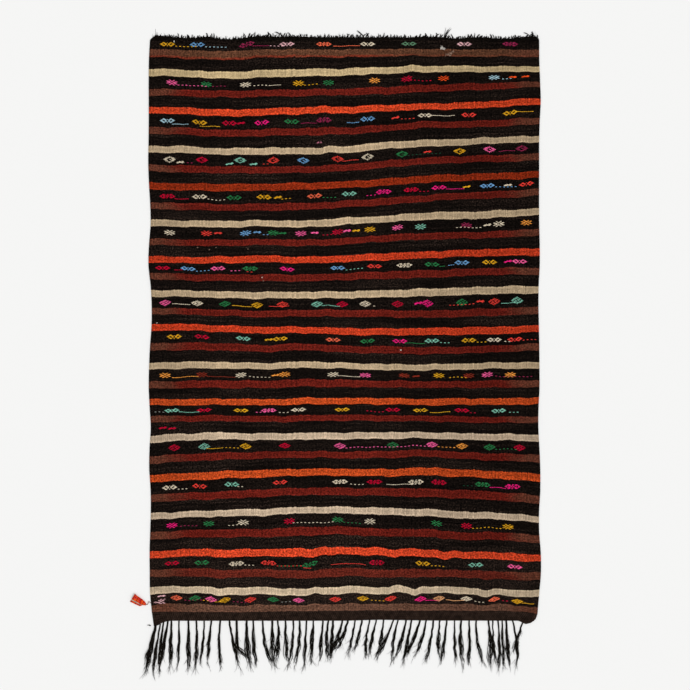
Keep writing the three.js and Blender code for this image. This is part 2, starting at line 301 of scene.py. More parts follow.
def tubes(paths, radius, sides=6, flat=1.0):
    # closed tubes along paths: rings of the radius across and flat times that in height, with a
    # pole at both ends. The uv is metres along the tube and the share of a turn round it.
    paths, radius = np.asarray(paths, float), np.asarray(radius, float)
    count, steps = paths.shape[:2]
    way = unit(np.gradient(paths, axis=1))
    across = unit(np.cross(way, [0.0, 0.0, 1.0]))
    up = np.cross(across, way)
    turn = (2 * np.pi * np.arange(sides) / sides)[None, None, :, None]
    off = np.cos(turn) * across[:, 1:-1, None] + flat * np.sin(turn) * up[:, 1:-1, None]
    rings = paths[:, 1:-1, None] + radius[:, 1:-1, None, None] * off
    points = np.concatenate([paths[:, :1], rings.reshape(count, -1, 3), paths[:, -1:]], axis=1)
    size = points.shape[1]
    base = (np.arange(count) * size)[:, None, None]
    i, k = (g.reshape(-1) for g in np.meshgrid(np.arange(steps - 3), np.arange(sides), indexing="ij"))
    rim = np.arange(sides)

    def at(ring, side):
        # number of a point on a ring
        return 1 + ring * sides + side % sides

    quads = np.stack([at(i, k), at(i + 1, k), at(i + 1, k + 1), at(i, k + 1)], -1)
    start = np.stack([0 * rim, at(0, rim), at(0, rim + 1)], -1)
    end = np.stack([0 * rim + size - 1, at(steps - 3, rim + 1), at(steps - 3, rim)], -1)
    along = np.concatenate([np.zeros((count, 1)),
                            np.cumsum(np.linalg.norm(np.diff(paths, axis=1), axis=2), axis=1)], axis=1)

    def spots(rings, turns):
        # uv of face corners, from the ring and the side of each
        distance = along[:, rings]
        return np.stack([distance, np.broadcast_to(turns / sides, distance.shape)], -1)

    places = [
        spots(np.stack([i + 1, i + 2, i + 2, i + 1], -1), np.stack([k, k, k + 1, k + 1], -1)),
        spots(np.stack([0 * rim, 0 * rim + 1, 0 * rim + 1], -1), np.stack([rim + 0.5, rim, rim + 1], -1)),
        spots(np.stack([0 * rim + steps - 1, 0 * rim + steps - 2, 0 * rim + steps - 2], -1),
              np.stack([rim + 0.5, rim + 1, rim], -1))]
    faces = [(f[None] + base).reshape(-1, f.shape[1]) for f in (quads, start, end)]
    return points.reshape(-1, 3), faces, places


def shell(top, under, spots, bulge):
    # closed sheet between an upper and a lower grid of points, its rim rounded out by the bulge
    rows, columns = top.shape[:2]
    number = np.arange(rows * columns).reshape(rows, columns)
    a, b, c, d = number[:-1, :-1], number[:-1, 1:], number[1:, 1:], number[1:, :-1]
    upper = np.stack([a, b, c, d], -1).reshape(-1, 4)
    lower = np.stack([a, d, c, b], -1).reshape(-1, 4) + number.size
    r = np.concatenate([np.zeros(columns - 1), np.arange(rows - 1), np.full(columns - 1, rows - 1),
                        np.arange(rows - 1, 0, -1)]).astype(int)
    c = np.concatenate([np.arange(columns - 1), np.full(rows - 1, columns - 1),
                        np.arange(columns - 1, 0, -1), np.zeros(rows - 1)]).astype(int)
    middle = (top + under) / 2
    out = unit(middle[r, c] - middle[np.clip(r, 1, rows - 2), np.clip(c, 1, columns - 2)])
    rimPoints = middle[r, c] + out * bulge
    edge = number[r, c]
    rim = 2 * number.size + np.arange(len(edge))
    nextEdge, nextRim = np.roll(edge, -1), np.roll(rim, -1)
    upperWall = np.stack([edge, rim, nextRim, nextEdge], -1)
    lowerWall = np.stack([rim, edge + number.size, nextEdge + number.size, nextRim], -1)
    faces = [upper, lower, upperWall, lowerWall]
    flatSpots = spots.reshape(-1, 2)
    every = np.concatenate([flatSpots, flatSpots, flatSpots[edge]])
    points = np.concatenate([top.reshape(-1, 3), under.reshape(-1, 3), rimPoints])
    return points, faces, [every[f] for f in faces]


def addPiece(name, data, material, slotName, *nodes):
    # finished object: at the origin, on the part's body, with its finish, and with the CAD parts that it
    # stands for hidden
    piece = bpy.data.objects.new(name, data)
    bpy.context.scene.collection.objects.link(piece)
    data.materials.append(material)
    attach(piece, "root")
    if nodes:
        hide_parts(*nodes)
    print("made", name)
    return piece


# Thread that ties the charm to the selvedge, from the cloth to the charm's neck (mm on the chart)
thread = {"diameter": 2 * mm, "length": 0.0335, "steps": 48, "dark": "#5c1604",
          "light": "#93330c", "slot": "tie_thread"}
threadRoute = [(-842.9, 76, 1.4), (-846, 77.4, 1.8), (-849, 80.6, 2.2), (-852.2, 82, 2.2),
               (-855, 79.6, 2), (-856.2, 75, 1.7), (-857.6, 70.8, 1.6), (-860.4, 69.4, 1.6),
               (-863, 70.3, 1.6), (-865.4, 71, 1.6)]


def chartPath(route):
    # points in millimetres on the chart to metres in the frame
    route = np.asarray(route, float)
    x, y = onChart(route[:, 0], route[:, 1])
    return np.stack([x, y, route[:, 2] * mm], -1)


def makeThread():
    # smooth curve through the route, by its running length, as a round bevelled line
    route = chartPath(threadRoute)
    run = np.concatenate([[0], np.cumsum(np.linalg.norm(np.diff(route, axis=0), axis=1))])
    fine = smooth(run, route.T, np.linspace(0, run[-1], thread["steps"])).T
    curve = bpy.data.curves.new("tieThread", "CURVE")
    curve.dimensions = "3D"
    curve.bevel_depth = thread["diameter"] / 2
    curve.bevel_resolution = 3
    curve.use_fill_caps = True
    line = curve.splines.new("POLY")
    line.points.add(len(fine) - 1)
    line.points.foreach_set("co", np.column_stack([fine, np.ones(len(fine))]).reshape(-1))
    material, tree, shader = newMaterial("tieThread")
    place = addNode(tree, "TexCoord").outputs["Object"]
    fibre = noise(tree, place, 700.0, 3.0, 0.7)
    colour = mix(tree, ease(tree, fibre, 0.35, 0.65), linear(thread["dark"]), linear(thread["light"]))
    finishMaterial(tree, shader, colour, bump(tree, fibre, 0.4 * mm))
    piece = addPiece("tieThread", curve, material, thread["slot"], "charm_thread")


makeThread()


# Cloth: its outline comes from the solid's rim, its stripes from the table
rimStrip = {"side": 28 * mm, "end": 30 * mm}  # how far the solid's rim strays from its box


def rimOf(node, side):
    # line of a solid's points that lie within a strip of one side of its box: 0 left, 1 right,
    # 2 foot, each sorted along that side
    low, high = (np.array(c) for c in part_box(node))
    points = np.array([v.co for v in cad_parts[node].data.vertices])
    axis, strip = (0, rimStrip["side"]) if side < 2 else (1, rimStrip["end"])
    near = points[:, axis] < low[axis] + strip if side % 2 == 0 else points[:, axis] > high[axis] - strip
    line = points[near]
    order, first = np.unique(np.round(line[:, 1 - axis], 4), return_index=True)
    return order, line[first, axis]


leftLine, rightLine, footLine = rimOf("cloth", 0), rimOf("cloth", 1), rimOf("cloth", 2)

weave = {"columns": 150, "rows": 224, "thickness": 2.5 * mm, "rimBulge": 0.9 * mm,
         "warpPitch": 4 * mm, "weftPitch": 1.5 * mm, "width": 1.70, "length": 2.49,
         "slot": "striped_weave"}
# The stripes (mm): their pitch and the first one's height, the numbers and height at the cloth's ends,
# and how far and how finely their table goes
stripes = {"pitch": 80.44, "first": 2465.3, "headStripe": -0.72, "headHeight": 2523.0,
           "footStripe": 30.2, "reach": 870, "acrossSteps": 581, "alongSteps": 774}

# How far each stripe strays towards the foot from an even pitch (mm), one row for each stripe from
# the head, read at these places across
stripePlaces = (-848, -696, -522, -348, -174, 0, 174, 348, 522, 696, 839)
stripeDrift = [
    (-1, 4, 10, 0, -1, 0, -3, -3, -1, -1, 1),
    (1, 6, 15, 8, 3, 0, -7, -12, -13, -12, -13),
    (8, 11, 17, 12, 11, 7, 1, -8, -15, -20, -29),
    (5, 8, 18, 13, 6, 4, -4, -9, -14, -24, -34),
    (13, 17, 27, 22, 19, 15, 4, -12, -13, -20, -28),
    (14, 16, 25, 22, 22, 16, -2, -11, -17, -27, -28),
    (15, 20, 23, 24, 22, 15, 0, -15, -23, -27, -33),
    (13, 16, 20, 17, 13, 7, -4, -17, -24, -30, -36),
    (19, 22, 27, 25, 22, 12, 1, -13, -25, -31, -41),
    (13, 15, 18, 14, 17, 5, -4, -17, -20, -27, -37),
    (15, 18, 19, 16, 19, 13, -1, -9, -13, -19, -29),
    (10, 13, 12, 8, 13, 7, -1, -9, -17, -20, -23),
    (2, 7, 10, 10, 11, 5, -2, -6, -13, -19, -18),
    (-3, -2, 3, 5, 4, 3, -1, -7, -13, -18, -18),
    (-7, -4, 2, 7, 3, 4, 5, 8, 3, -3, -7),
    (-17, -17, -10, -5, -5, 2, 3, 2, -1, -4, -10),
    (-12, -14, -11, -4, -12, -1, 1, 5, 2, -4, -12),
    (-7, -13, -12, -9, -15, -10, -4, -3, -7, -12, -11),
    (-5, -9, -10, -9, -16, -13, -11, -9, -9, -11, -12),
    (-12, -12, -14, -12, -17, -17, -17, -13, -16, -15, -20),
    (-18, -22, -23, -20, -23, -26, -23, -22, -18, -16, -18),
    (-12, -22, -27, -23, -26, -27, -29, -30, -24, -22, -18),
    (-3, -12, -19, -24, -27, -24, -26, -32, -20, -14, -9),
    (-3, -10, -19, -24, -30, -30, -28, -34, -26, -17, -6),
    (3, -4, -11, -20, -27, -26, -24, -20, -13, -4, 10),
    (1, -7, -13, -18, -27, -26, -21, -15, -5, 1, 15),
    (7, -3, -6, -7, -15, -17, -8, -7, 7, 7, 21),
    (11, -3, 0, -3, -3, -11, -7, 0, 6, 14, 23),
    (10, 3, 10, 6, 14, 2, 9, 6, 10, 18, 20),
    (3, -3, 3, 3, 10, -1, 2, -3, 3, 13, 14),
    (-2, -5, 1, -2, -3, -7, -6, -7, -5, -4, 8),
]
# Small puckers: the stripe each lies on, its place across and how far the stripe dips there (mm)
puckers = [(29, -548, 6.5), (29, -126, -9), (29, 226, -12), (29, 300, 13), (29, 609, 7), (29, 652, -6.5),
           (27, -161, 5), (27, -100, -6.5), (27, 83, 4), (27, 126, -4), (27, 209, 10), (27, 283, -6.5),
           (27, 435, 9), (1, -22, 3), (1, 304, -4), (3, -91, -5), (5, -65, -4)]
puckerShape = {"half": 39, "stripes": 1.3, "lift": 2.2}
# Low buckles of the cloth: place across, from and to along the rug, half width and lift (mm)
buckles = [(-545, 60, 330, 75, 4), (-125, 70, 400, 80, 5), (85, 90, 360, 60, 4), (240, 60, 420, 70, 6),
           (430, 110, 450, 70, 5), (640, 60, 300, 70, 4), (-520, 1800, 2440, 110, 4),
           (300, 2050, 2460, 100, 4), (200, 1480, 1960, 90, 3)]
# Faint waves of the weave: length across, length along and height (mm)
waves = [(163, 910, 0.28), (97, -530, 0.14), (61, 310, 0.06), (229, -370, 0.3)]
# Small waves of the stripes along the rug: length across (mm), stripes to a turn, and height (mm)
wobbles = [(131, 7.3, 1.1), (83, -4.9, 0.8), (57, 3.1, 0.45), (211, -9.7, 1.3), (37, 2.3, 0.2)]


def stripeTable():
    # height of each stripe across the rug, drawn fine both ways: even pitch less the drift
    fineX = np.linspace(-stripes["reach"], stripes["reach"], stripes["acrossSteps"])
    numbers = np.arange(len(stripeDrift))
    even = stripes["first"] - stripes["pitch"] * numbers
    heights = even[:, None] - smooth(stripePlaces, stripeDrift, fineX)
    for stripe, place, dip in puckers:
        spread = hump((numbers - stripe) / puckerShape["stripes"])
        heights -= dip * spread[:, None] * hump((fineX - place) / puckerShape["half"])
    for across, turn, size in wobbles:
        heights += size * np.sin(2 * np.pi * (fineX / across + numbers[:, None] / turn))
    foot = (smooth(*footLine, onChart(fineX, 0)[0]) - chartZero[1]) / mm
    head = np.full(len(fineX), stripes["headHeight"])
    knots = np.concatenate([[stripes["headStripe"]], numbers, [stripes["footStripe"]]])
    fineV = np.linspace(knots[0], knots[-1], stripes["alongSteps"])
    return fineX, fineV, smooth(knots, np.vstack([head, heights, foot]).T, fineV)


fineX, fineV, fineHeight = stripeTable()


def cellOf(value, grid):
    # number of a value's cell in an even grid, and how far into the cell it lies
    place = np.clip((value - grid[0]) / (grid[1] - grid[0]), 0, len(grid) - 1.001)
    cell = np.floor(place).astype(int)
    return cell, place - cell


def stripeHeight(x, stripe):
    # height along the rug (m) of a place on a stripe, read between the table's four nearest values
    i, a = cellOf((x - chartZero[0]) / mm, fineX)
    j, b = cellOf(stripe, fineV)
    near = fineHeight[i, j] * (1 - b) + fineHeight[i, j + 1] * b
    far = fineHeight[i + 1, j] * (1 - b) + fineHeight[i + 1, j + 1] * b
    return onChart(0, near * (1 - a) + far * a)[1]


def clothPlace(share, stripe):
    # place of the share of the way across on a stripe: height and selvedges settle in three turns
    y = stripeHeight(np.zeros_like(share * stripe), stripe)
    for _ in range(3):
        left, right = smooth(*leftLine, y), smooth(*rightLine, y)
        x = left + (right - left) * share
        y = stripeHeight(x, stripe)
    return x, y


def clothLift(x, y):
    # height of the underside: buckles and puckers as humps, and the waves, none below the floor
    x, y = (x - chartZero[0]) / mm, (y - chartZero[1]) / mm
    lift = np.zeros_like(x)
    for place, start, end, half, height in buckles:
        lift += height * hump((x - place) / half) * hump((y - (start + end) / 2) / ((end - start) / 2))
    for stripe, place, _ in puckers:
        along = ((y - stripes["first"]) / stripes["pitch"] + stripe) / puckerShape["stripes"]
        lift += puckerShape["lift"] * hump((x - place) / puckerShape["half"]) * hump(along)
    for across, along, height in waves:
        lift += height * (1 + np.sin(2 * np.pi * (x / across + y / along)))
    return lift * mm


dyes = {"straw": "#c2aa80", "cream": "#bba383", "pale": "#c2ab91", "milk": "#c9b396", "orange": "#cb4222",
        "brick": "#bf3b1f", "flame": "#d24526", "rust": "#8a2b12", "amber": "#bd481e", "red": "#661d15",
        "madder": "#64251b", "brown": "#674738", "dun": "#603d2b"}
# The stripes from the head: dye, and the share of the pitch that each fills
stripeOrder = [
    ("dun", 0.42), ("straw", 0.355), ("red", 0.355), ("orange", 0.34), ("red", 0.35), ("cream", 0.36),
    ("red", 0.375), ("rust", 0.365), ("red", 0.36), ("cream", 0.36), ("red", 0.34), ("brick", 0.365),
    ("red", 0.385), ("cream", 0.365), ("red", 0.365), ("brick", 0.38), ("red", 0.385), ("cream", 0.35),
    ("red", 0.39), ("amber", 0.36), ("red", 0.34), ("pale", 0.36), ("red", 0.365), ("amber", 0.375),
    ("red", 0.39), ("pale", 0.335), ("red", 0.385), ("flame", 0.365), ("madder", 0.415), ("milk", 0.405),
    ("brown", 0.37),
]
ground = {"black": "#0e0a08", "streak": "#40322b", "faded": "#633a2b", "redLine": "#7b3020"}


def stripeRamp(tree, nearest):
    # dye of a stripe, and its share of the pitch as alpha, by its number
    count = float(len(stripeOrder))
    ramp = addNode(tree, "ValToRGB")
    ramp.color_ramp.interpolation = "CONSTANT"
    slots = ramp.color_ramp.elements
    slots.remove(slots[1])
    for k, (dye, share) in enumerate(stripeOrder):
        slot = slots[0] if k == 0 else slots.new(k / count)
        slot.color = linear(dyes[dye], share)
    tree.links.new(calc(tree, "DIVIDE", calc(tree, "ADD", nearest, 0.5), count), ramp.inputs[0])
    return ramp.outputs


def stripeDye(tree, way, warp):
    # dye of the nearest stripe, and a mask that is 1 within its own share of the pitch. The edges step
    # over the warps
    across, stripe = parts(tree, way)[:2]
    wander = calc(tree, "MULTIPLY_ADD", streaks(tree, way, 30.0, 1.0, 3.0), 0.03, -0.015)
    step = calc(tree, "MULTIPLY_ADD", warp, 0.026, -0.013)
    edge = calc(tree, "ADD", calc(tree, "ADD", stripe, wander), step)
    last = len(stripeOrder) - 1.0
    nearest = calc(tree, "MINIMUM", calc(tree, "MAXIMUM", calc(tree, "ROUND", edge), 0.0), last)
    off = calc(tree, "SUBTRACT", edge, nearest)
    ramp = stripeRamp(tree, nearest)
    swell = ease(tree, streaks(tree, way, 9.0, 0.7), 0.3, 0.7, 0.46, 0.54)
    half = times(tree, ramp["Alpha"], swell)
    past = calc(tree, "SUBTRACT", calc(tree, "ABSOLUTE", off), half)
    inside = ease(tree, past, -0.012, 0.008, 1.0, 0.0)
    # worn dye: a duller middle, paler ends on the red stripes, a red line under the first stripe
    dye = scaled(tree, ramp["Color"], ease(tree, past, -0.13, -0.03, 0.9, 1.12))
    side = calc(tree, "ABSOLUTE", calc(tree, "SUBTRACT", across, weave["width"] / 2))
    inward = calc(tree, "SUBTRACT", weave["width"] / 2, side)
    ragged = calc(tree, "MULTIPLY_ADD", streaks(tree, way, 9.0, 2.0, 4.0), 0.16, -0.08)
    paleEnd = ease(tree, calc(tree, "ADD", inward, ragged), 0.04, 0.17, 0.85, 0.0)
    isRed = calc(tree, "SUBTRACT", 1.0, calc(tree, "FLOORED_MODULO", nearest, 2.0))
    dye = mix(tree, times(tree, paleEnd, isRed), dye, linear(ground["faded"]))
    isFirst = calc(tree, "LESS_THAN", nearest, 0.5)
    broken = ease(tree, streaks(tree, way, 9.0, 3.0, 3.0), 0.3, 0.55, 0.35, 1.0)
    lowerLine = times(tree, ease(tree, off, 0.07, 0.15), isFirst, broken,
                      ease(tree, across, 0.95, 1.25, 1.0, 0.35))
    dye = mix(tree, lowerLine, dye, linear(ground["redLine"]))
    # wool that took the dye unevenly: browner lengths in the reds
    uneven = ease(tree, streaks(tree, way, 7.0, 2.4, 4.0, 0.6), 0.42, 0.72, 0.0, 0.5)
    return mix(tree, times(tree, uneven, isRed), dye, scaled(tree, dye, 0.72)), inside


def blackGround(tree, way, cloth):
    # black with browner picks: more of them near the foot, fewer beside the figures elsewhere
    stripe = parts(tree, way)[1]
    low = ease(tree, stripe, 24.0, 29.0, 0.0, 0.13)
    picks = calc(tree, "ADD", streaks(tree, way, 3.0, 9.0, 4.0, 0.65), low)
    browner = calc(tree, "MULTIPLY_ADD", streaks(tree, way, 2.2, 0.9), 0.5, -0.25)
    brownPicks = ease(tree, calc(tree, "ADD", picks, browner), 0.4, 0.72, 0.05, 1.0)
    speck = ease(tree, noise(tree, cloth, 210.0, 3.0, 0.7), 0.42, 0.66)
    figured = calc(tree, "FLOORED_MODULO", calc(tree, "FLOOR", stripe), 2.0)
    fewer = calc(tree, "MULTIPLY_ADD", figured, ease(tree, stripe, 24.0, 29.0, -0.4, 0.0), 0.95)
    return mix(tree, times(tree, brownPicks, speck, fewer), linear(ground["black"]),
               linear(ground["streak"]))


def clothToneAndShade(tree, way, cloth, threads, colour, inside):
    # coarse grain of uneven spinning, strong in the dark yarns and faint in the pale ones, times painted
    # shade where the light falls off towards both selvedges, flecks, ribs, warps, picks, long soft
    # patches, and painted shade in the grooves of the weave
    across = parts(tree, way)[0]
    green = addNode(tree, "SeparateColor", {0: colour}).outputs[1]
    depth = times(tree, ease(tree, green, 0.1, 0.3, 1.0, 0.2), ease(tree, inside, 0.0, 1.0, 1.7, 1.0))
    grain = ease(tree, streaks(tree, cloth, 130.0, 170.0, 3.0, 0.8), 0.34, 0.66, -0.72, 0.72)
    grain = calc(tree, "MAXIMUM", calc(tree, "MULTIPLY_ADD", grain, depth, 1.0), 0.1)
    return times(
        tree,
        # painted shade: darker towards the left and the right selvedge, where the light falls off
        ease(tree, across, -0.1, 0.38, 0.78, 1.0),
        ease(tree, across, 0.75, 1.55, 1.0, 0.74),
        ease(tree, noise(tree, cloth, 190.0, 2.0, 0.7), 0.3, 0.7, 0.8, 1.2),
        ease(tree, streaks(tree, cloth, 300.0, 45.0, 1.0), 0.3, 0.7, 0.84, 1.16),
        calc(tree, "MULTIPLY_ADD", threads["Warp"], 0.34, 0.83),
        ease(tree, streaks(tree, cloth, 14.0, 330.0), 0.3, 0.7, 0.88, 1.12),
        ease(tree, streaks(tree, way, 5.0, 3.0, 3.0), 0.3, 0.7, 0.9, 1.1),
        # painted shade: darker in the low parts of the weave
        ease(tree, threads["Height"], 0.1, 0.8, 0.86, 1.06),
        grain)


def stripedMaterial():
    # dye of the stripes and black between them, times the tone and the painted shade
    material, tree, shader = newMaterial("stripedWeave")
    way = mapOf(tree)
    cloth = stretched(tree, way, 1.0, stripes["pitch"] * mm)
    threads = useGroup(tree, weftFaced, {"Way": cloth, "Warp Pitch": weave["warpPitch"],
                                         "Weft Pitch": weave["weftPitch"]})
    dye, inside = stripeDye(tree, way, threads["Warp"])
    colour = mix(tree, inside, blackGround(tree, way, cloth), dye)
    tone = clothToneAndShade(tree, way, cloth, threads, colour, inside)
    finishMaterial(tree, shader, scaled(tree, colour, tone), bump(tree, threads["Height"], 0.5 * mm))
    return material


def makeCloth():
    # grid of shares across and stripes along, foot first, raised by the lift
    share = np.linspace(0, 1, weave["columns"] + 1)[None, :]
    stripe = np.linspace(stripes["footStripe"], stripes["headStripe"], weave["rows"] + 1)[:, None]
    x, y = clothPlace(share, stripe)
    z = clothLift(x, y)
    top = np.stack([x, y, z + weave["thickness"]], -1)
    under = np.stack([x, y, z], -1)
    spots = np.stack(np.broadcast_arrays(share * weave["width"], stripe), -1)
    mesh = fillMesh("wovenCloth", *shell(top, under, spots, weave["rimBulge"]))
    return addPiece("wovenCloth", mesh, stripedMaterial(), weave["slot"], "cloth")


clothPiece = makeCloth()


# Brocade: figures and tails of extra weft, floated over the black ground
brocade = {"reach": 1.27, "flat": 0.8, "sink": 0.1 * mm, "tailDrop": 0.1, "lowDrop": 0.17,
           "rise": 0.0028, "dashPitch": 17.0, "dashFloat": 9.0, "dashReach": 1.5, "linePitch": 9.0,
           "lineFloat": 9.36, "lineReach": 1.3, "light": 1.3, "dark": 0.75}
# Each figure's cell across and along (mm), and its chart: a float runs over each row of marked cells
figureCharts = {
    "eyes": (4.5, 2.5, [
        "...xx.....xx...",
        "..xxxx.x.xxxx..",
        ".xx.xxx.xxx.xx.",
        "xxx..xx.xx..xxx",
        ".xxx.xx.xx.xxx.",
        "..xxxx.x.xxxx..",
        "...xx..x..xx..."]),
    "hooks": (4.1, 2.4, [
        "...xxx..xx.xxx...",
        "..xxxxx.x.xxxxx..",
        ".xx.xx.xxx.xx.xx.",
        "xxx.x.xx.xx.x.xxx",
        ".xx.xx.xxx.xx.xx.",
        "..xxxxx.x.xxxxx..",
        "...xxx.xx..xxx..."]),
    "star": (3.8, 2.3, [
        "...xx...xx...",
        "....xx.xx....",
        "xxx..xxx..xxx",
        ".xxxx.x.xxxx.",
        "...xxx.xxx...",
        ".xxxx.x.xxxx.",
        "xxx..xxx..xxx",
        "....xx.xx....",
        "...xx...xx..."]),
    "diamond": (4.1, 3.0, [
        "......x......",
        "....xxxxx....",
        "..xxxxx.xxx..",
        ".xxxx.xxxx.x.",
        "xxx.xx.xx.xxx",
        ".x.xxxx.xxxx.",
        "..xxx.xxxxx..",
        "....xxxxx....",
        "......x......"]),
    "tallDiamond": (4.3, 3.2, [
        "......x......",
        "....xxxxx....",
        "..xxxxx.xxx..",
        ".xxxx...xxxx.",
        "xxxx..xx.xxxx",
        ".xxxx..xxxxx.",
        "..xxx...xxx..",
        "....xxxxx....",
        "......x......"]),
    "squiggle": (3.6, 2.1, [
        "....x..xxx.",
        ".xxxxxxxxxx",
        "xxxxxxxxxxx",
        ".xxx...xx.."]),
    "wedges": (4.8, 3.7, [
        "......xx.xx",
        "....xxx.xx.",
        "xxx..xxxxx.",
        ".xxxxxxx...",
        "....xx..xx.",
        ".....xxx.xx"]),
}
yarns = {"gold": "#e8ab22", "blue": "#73a8d8", "paleBlue": "#aaccd8", "pink": "#ff66a4",
         "palePink": "#ecb8bd", "hotPink": "#fa2384", "green": "#2d804a", "moss": "#1d4a35",
         "sage": "#66906f", "cream": "#e6d6bc", "crimson": "#ca0c35", "wine": "#982850",
         "red": "#f2443a", "coral": "#f7704e", "teal": "#86c8b0", "orange": "#ffa446",
         "peach": "#f2b07a", "rust": "#8c3020", "grey": "#8a8a84", "vermilion": "#f2521e"}
# One row of figures for every other black stripe, from the head: its usual figure, then each figure's
# place in centimetres from the left selvedge, its yarn and its own figure where that is another, and
# the tails from one place to another, a little below the figures' middles. A low one lies further
# below, a level tail at their middles, and a rising figure climbs to the right.
brocadeRows = [
    ("eyes",
     "8 gold, 21 blue, 42.5 wine hooks rising, 60 palePink, 76 coral hooks, 95 cream, 113 sage, "
     "137 palePink, 157 wine hooks",
     "11-22 gold dash, 24-35 paleBlue dash, 45-52 wine line, 52-58 palePink dash, 80-92 coral line"),
    ("star",
     "10 pink, 25 green, 42 cream, 65 gold, 78 green, 98 orange, 112 crimson, 128 vermilion, "
     "150 paleBlue, 158 vermilion squiggle, 163.5 vermilion squiggle",
     "12-25 pink dash, 27-34 wine dash, 45-51 cream dash, 52-57 cream line, 67-74 gold dash, "
     "113-123 crimson dash, 153-158 paleBlue dash"),
    ("eyes",
     "8 paleBlue, 22 gold, 35 crimson, 40 crimson squiggle, 49 hotPink, 62 green, 76 wine hooks, "
     "95 blue, 107 red squiggle, 120 cream, 139 red, 157 gold",
     "10-17 paleBlue line low, 22-31 gold line low, 66-73 wine line, 86-91 blue line, 109-115 red dash, "
     "123-133 cream line level, 160-167 gold line level"),
    ("tallDiamond",
     "9 cream, 13.6 cream squiggle low, 23 crimson, 35 teal squiggle low, 39.6 teal, "
     "45.4 teal squiggle low, 54 red, 67 blue, 82 red, 95 cream, 110 green, "
     "121 red squiggle, 135 gold, 148 pink, 162 wine",
     "16-20 wine dash low, 49-53 red dash low, 84-91 red line, 112-127 moss dash, 152-159 wine line"),
    ("eyes",
     "8 crimson hooks, 22 cream, 37 green, 50 gold, 56 gold squiggle, 72 coral, 87 teal, "
     "102 hotPink hooks, 114 crimson hooks, 126 hotPink, 138 gold squiggle, 147 blue, "
     "156 cream squiggle, 164 red",
     "11-17 crimson line, 25-33 cream dash, 57-62 gold dash, 75-81 green dash, 94-100 hotPink dash, "
     "117-122 crimson dash, 129-137 hotPink line, 150-160 blue dash"),
    ("star",
     "9 cream, 25 red, 30 red squiggle, 42 blue, 47 blue squiggle, 54 green, 58 green squiggle, "
     "66 pink, 72 pink squiggle, 82 crimson, 86 pink squiggle, 90 gold squiggle, 96 gold, "
     "108 pink, 118 teal, 138 wine, 147 cream squiggle, 152 cream, 164 orange",
     "49-52 blue dash, 75-81 crimson dash, 133-145 cream dash"),
    ("eyes",
     "6 crimson, 17 blue, 30 pink, 44 green hooks, 60 hotPink, 82 blue, 98 red, 111 cream hooks, "
     "123 green, 136 blue, 148 gold, 156 hotPink squiggle, 161 pink",
     "11-15 crimson line, 20-26 blue dash, 35-40 pink dash, 42-46 red dash low, 85-93 teal dash, "
     "126-129 green line, 130-133 blue line"),
    ("diamond",
     "7 pink, 21 cream, 33 green, 47 gold, 58 red, 73 teal, 84 crimson, 94 cream, 108 crimson, "
     "117 hotPink squiggle, 121 hotPink, 136 green, 144 red squiggle, 150 red, 160 teal",
     "10-18 cream line, 36-45 gold line, 52-61 red line, 75-83 teal line, 97-99 cream dash, "
     "130-142 red dash, 153-159 teal line"),
    ("eyes",
     "11 gold, 23 crimson, 41 teal, 52 gold squiggle, 57 gold, 80 coral, 95 green, 109 hotPink, "
     "123 teal, 139 gold, 150 cream, 159 red",
     "111-120 green line, 126-131 teal dash, 142-147 gold dash, 154-157 cream dash, 162-169 red dash"),
    ("star",
     "7 orange, 23 rust, 40 cream, 55 orange squiggle, 59 orange, 80 cream, 94 pink, 111 rust, "
     "116 rust squiggle, 126 gold, 139 rust, 147 pink, 157 orange",
     "10-22 orange line, 25-38 rust line, 43-53 cream dash, 82-92 cream line, 130-138 gold dash, "
     "150-167 wine dash"),
    ("eyes",
     "10 teal, 24 crimson, 40 gold, 52 pink hooks, 65 cream, 84 gold, 106 crimson, 118 gold, "
     "136 crimson, 152 teal",
     "2-7 grey dash, 13-22 teal line, 46-52 pink dash, 56-61 cream dash, 94-102 crimson dash, "
     "122-131 gold line, 139-142 crimson dash, 156-161 teal dash"),
    ("diamond",
     "11 crimson, 24 teal, 42 gold, 59 crimson, 83 pink, 106 green, 123 pink, 136 orange, "
     "148 green, 161 crimson",
     "25-31 gold line, 31-40 gold dash, 85-122 pink dash, 125-133 orange dash, 150-160 green dash"),
    ("eyes",
     "9 cream, 22 red, 36 teal, 57 red, 83 cream hooks, 98 crimson hooks, 116 cream hooks, "
     "126 crimson hooks, 145 green hooks, 158 hotPink hooks",
     "12-17 cream dash, 38-42 cream dash, 87-93 cream dash, 103-115 cream line, 136-142 moss dash, "
     "148-155 hotPink line"),
    ("star",
     "10 hotPink, 26 green, 41 cream, 61 crimson, 82 green, 96 cream, 125 green, 138 crimson, "
     "156 gold",
     "13-22 wine dash, 34-40 cream dash, 62-80 cream dash, 84-93 green dash, 140-153 gold dash"),
    ("eyes",
     "10 crimson, 23 green, 38 cream hooks, 52 red hooks, 70 green hooks rising, 99 crimson hooks, "
     "119 gold, 142 teal, 159 pink",
     "41-46 cream dash, 55-67 red dash, 55.9-67 green dash, 67-71 red line low, 79-94 red line, "
     "122-129 gold dash"),
    ("diamond",
     "12 coral, 20 green, 27 pink, 33 gold diamond rising, 44 red, 54 green, 65 pink, 81 red, "
     "93 gold, 105 red, 118 hotPink, 126 peach, 138 cream, 150 coral, 160 gold",
     "15-23 wine dash, 23-29 gold dash, 29-32 gold line, 36-42 wine dash, 57-62 grey dash, "
     "96-103 gold dash, 120-126 hotPink line, 129-137 peach line, 141-146 cream dash, "
     "153-156.4 crimson dash, 162-167 gold line"),
]
# Figures outside the rows: place, yarn, figure and stripe
strayFigures = [(6, "crimson", "squiggle", 20.47), (10, "crimson", "squiggle", 20.53),
                (5.4, "palePink", "squiggle", 29.36), (4.6, "palePink", "wedges", 29.68)]
rowLine = -0.5  # the first row's stripe; each next row lies two stripes on
selvedgeLeft = -852  # where the places across start, on the chart (mm)


def figurePlace(centimetres):
    # place across on the chart (mm)
    return selvedgeLeft + float(centimetres) * cm / mm


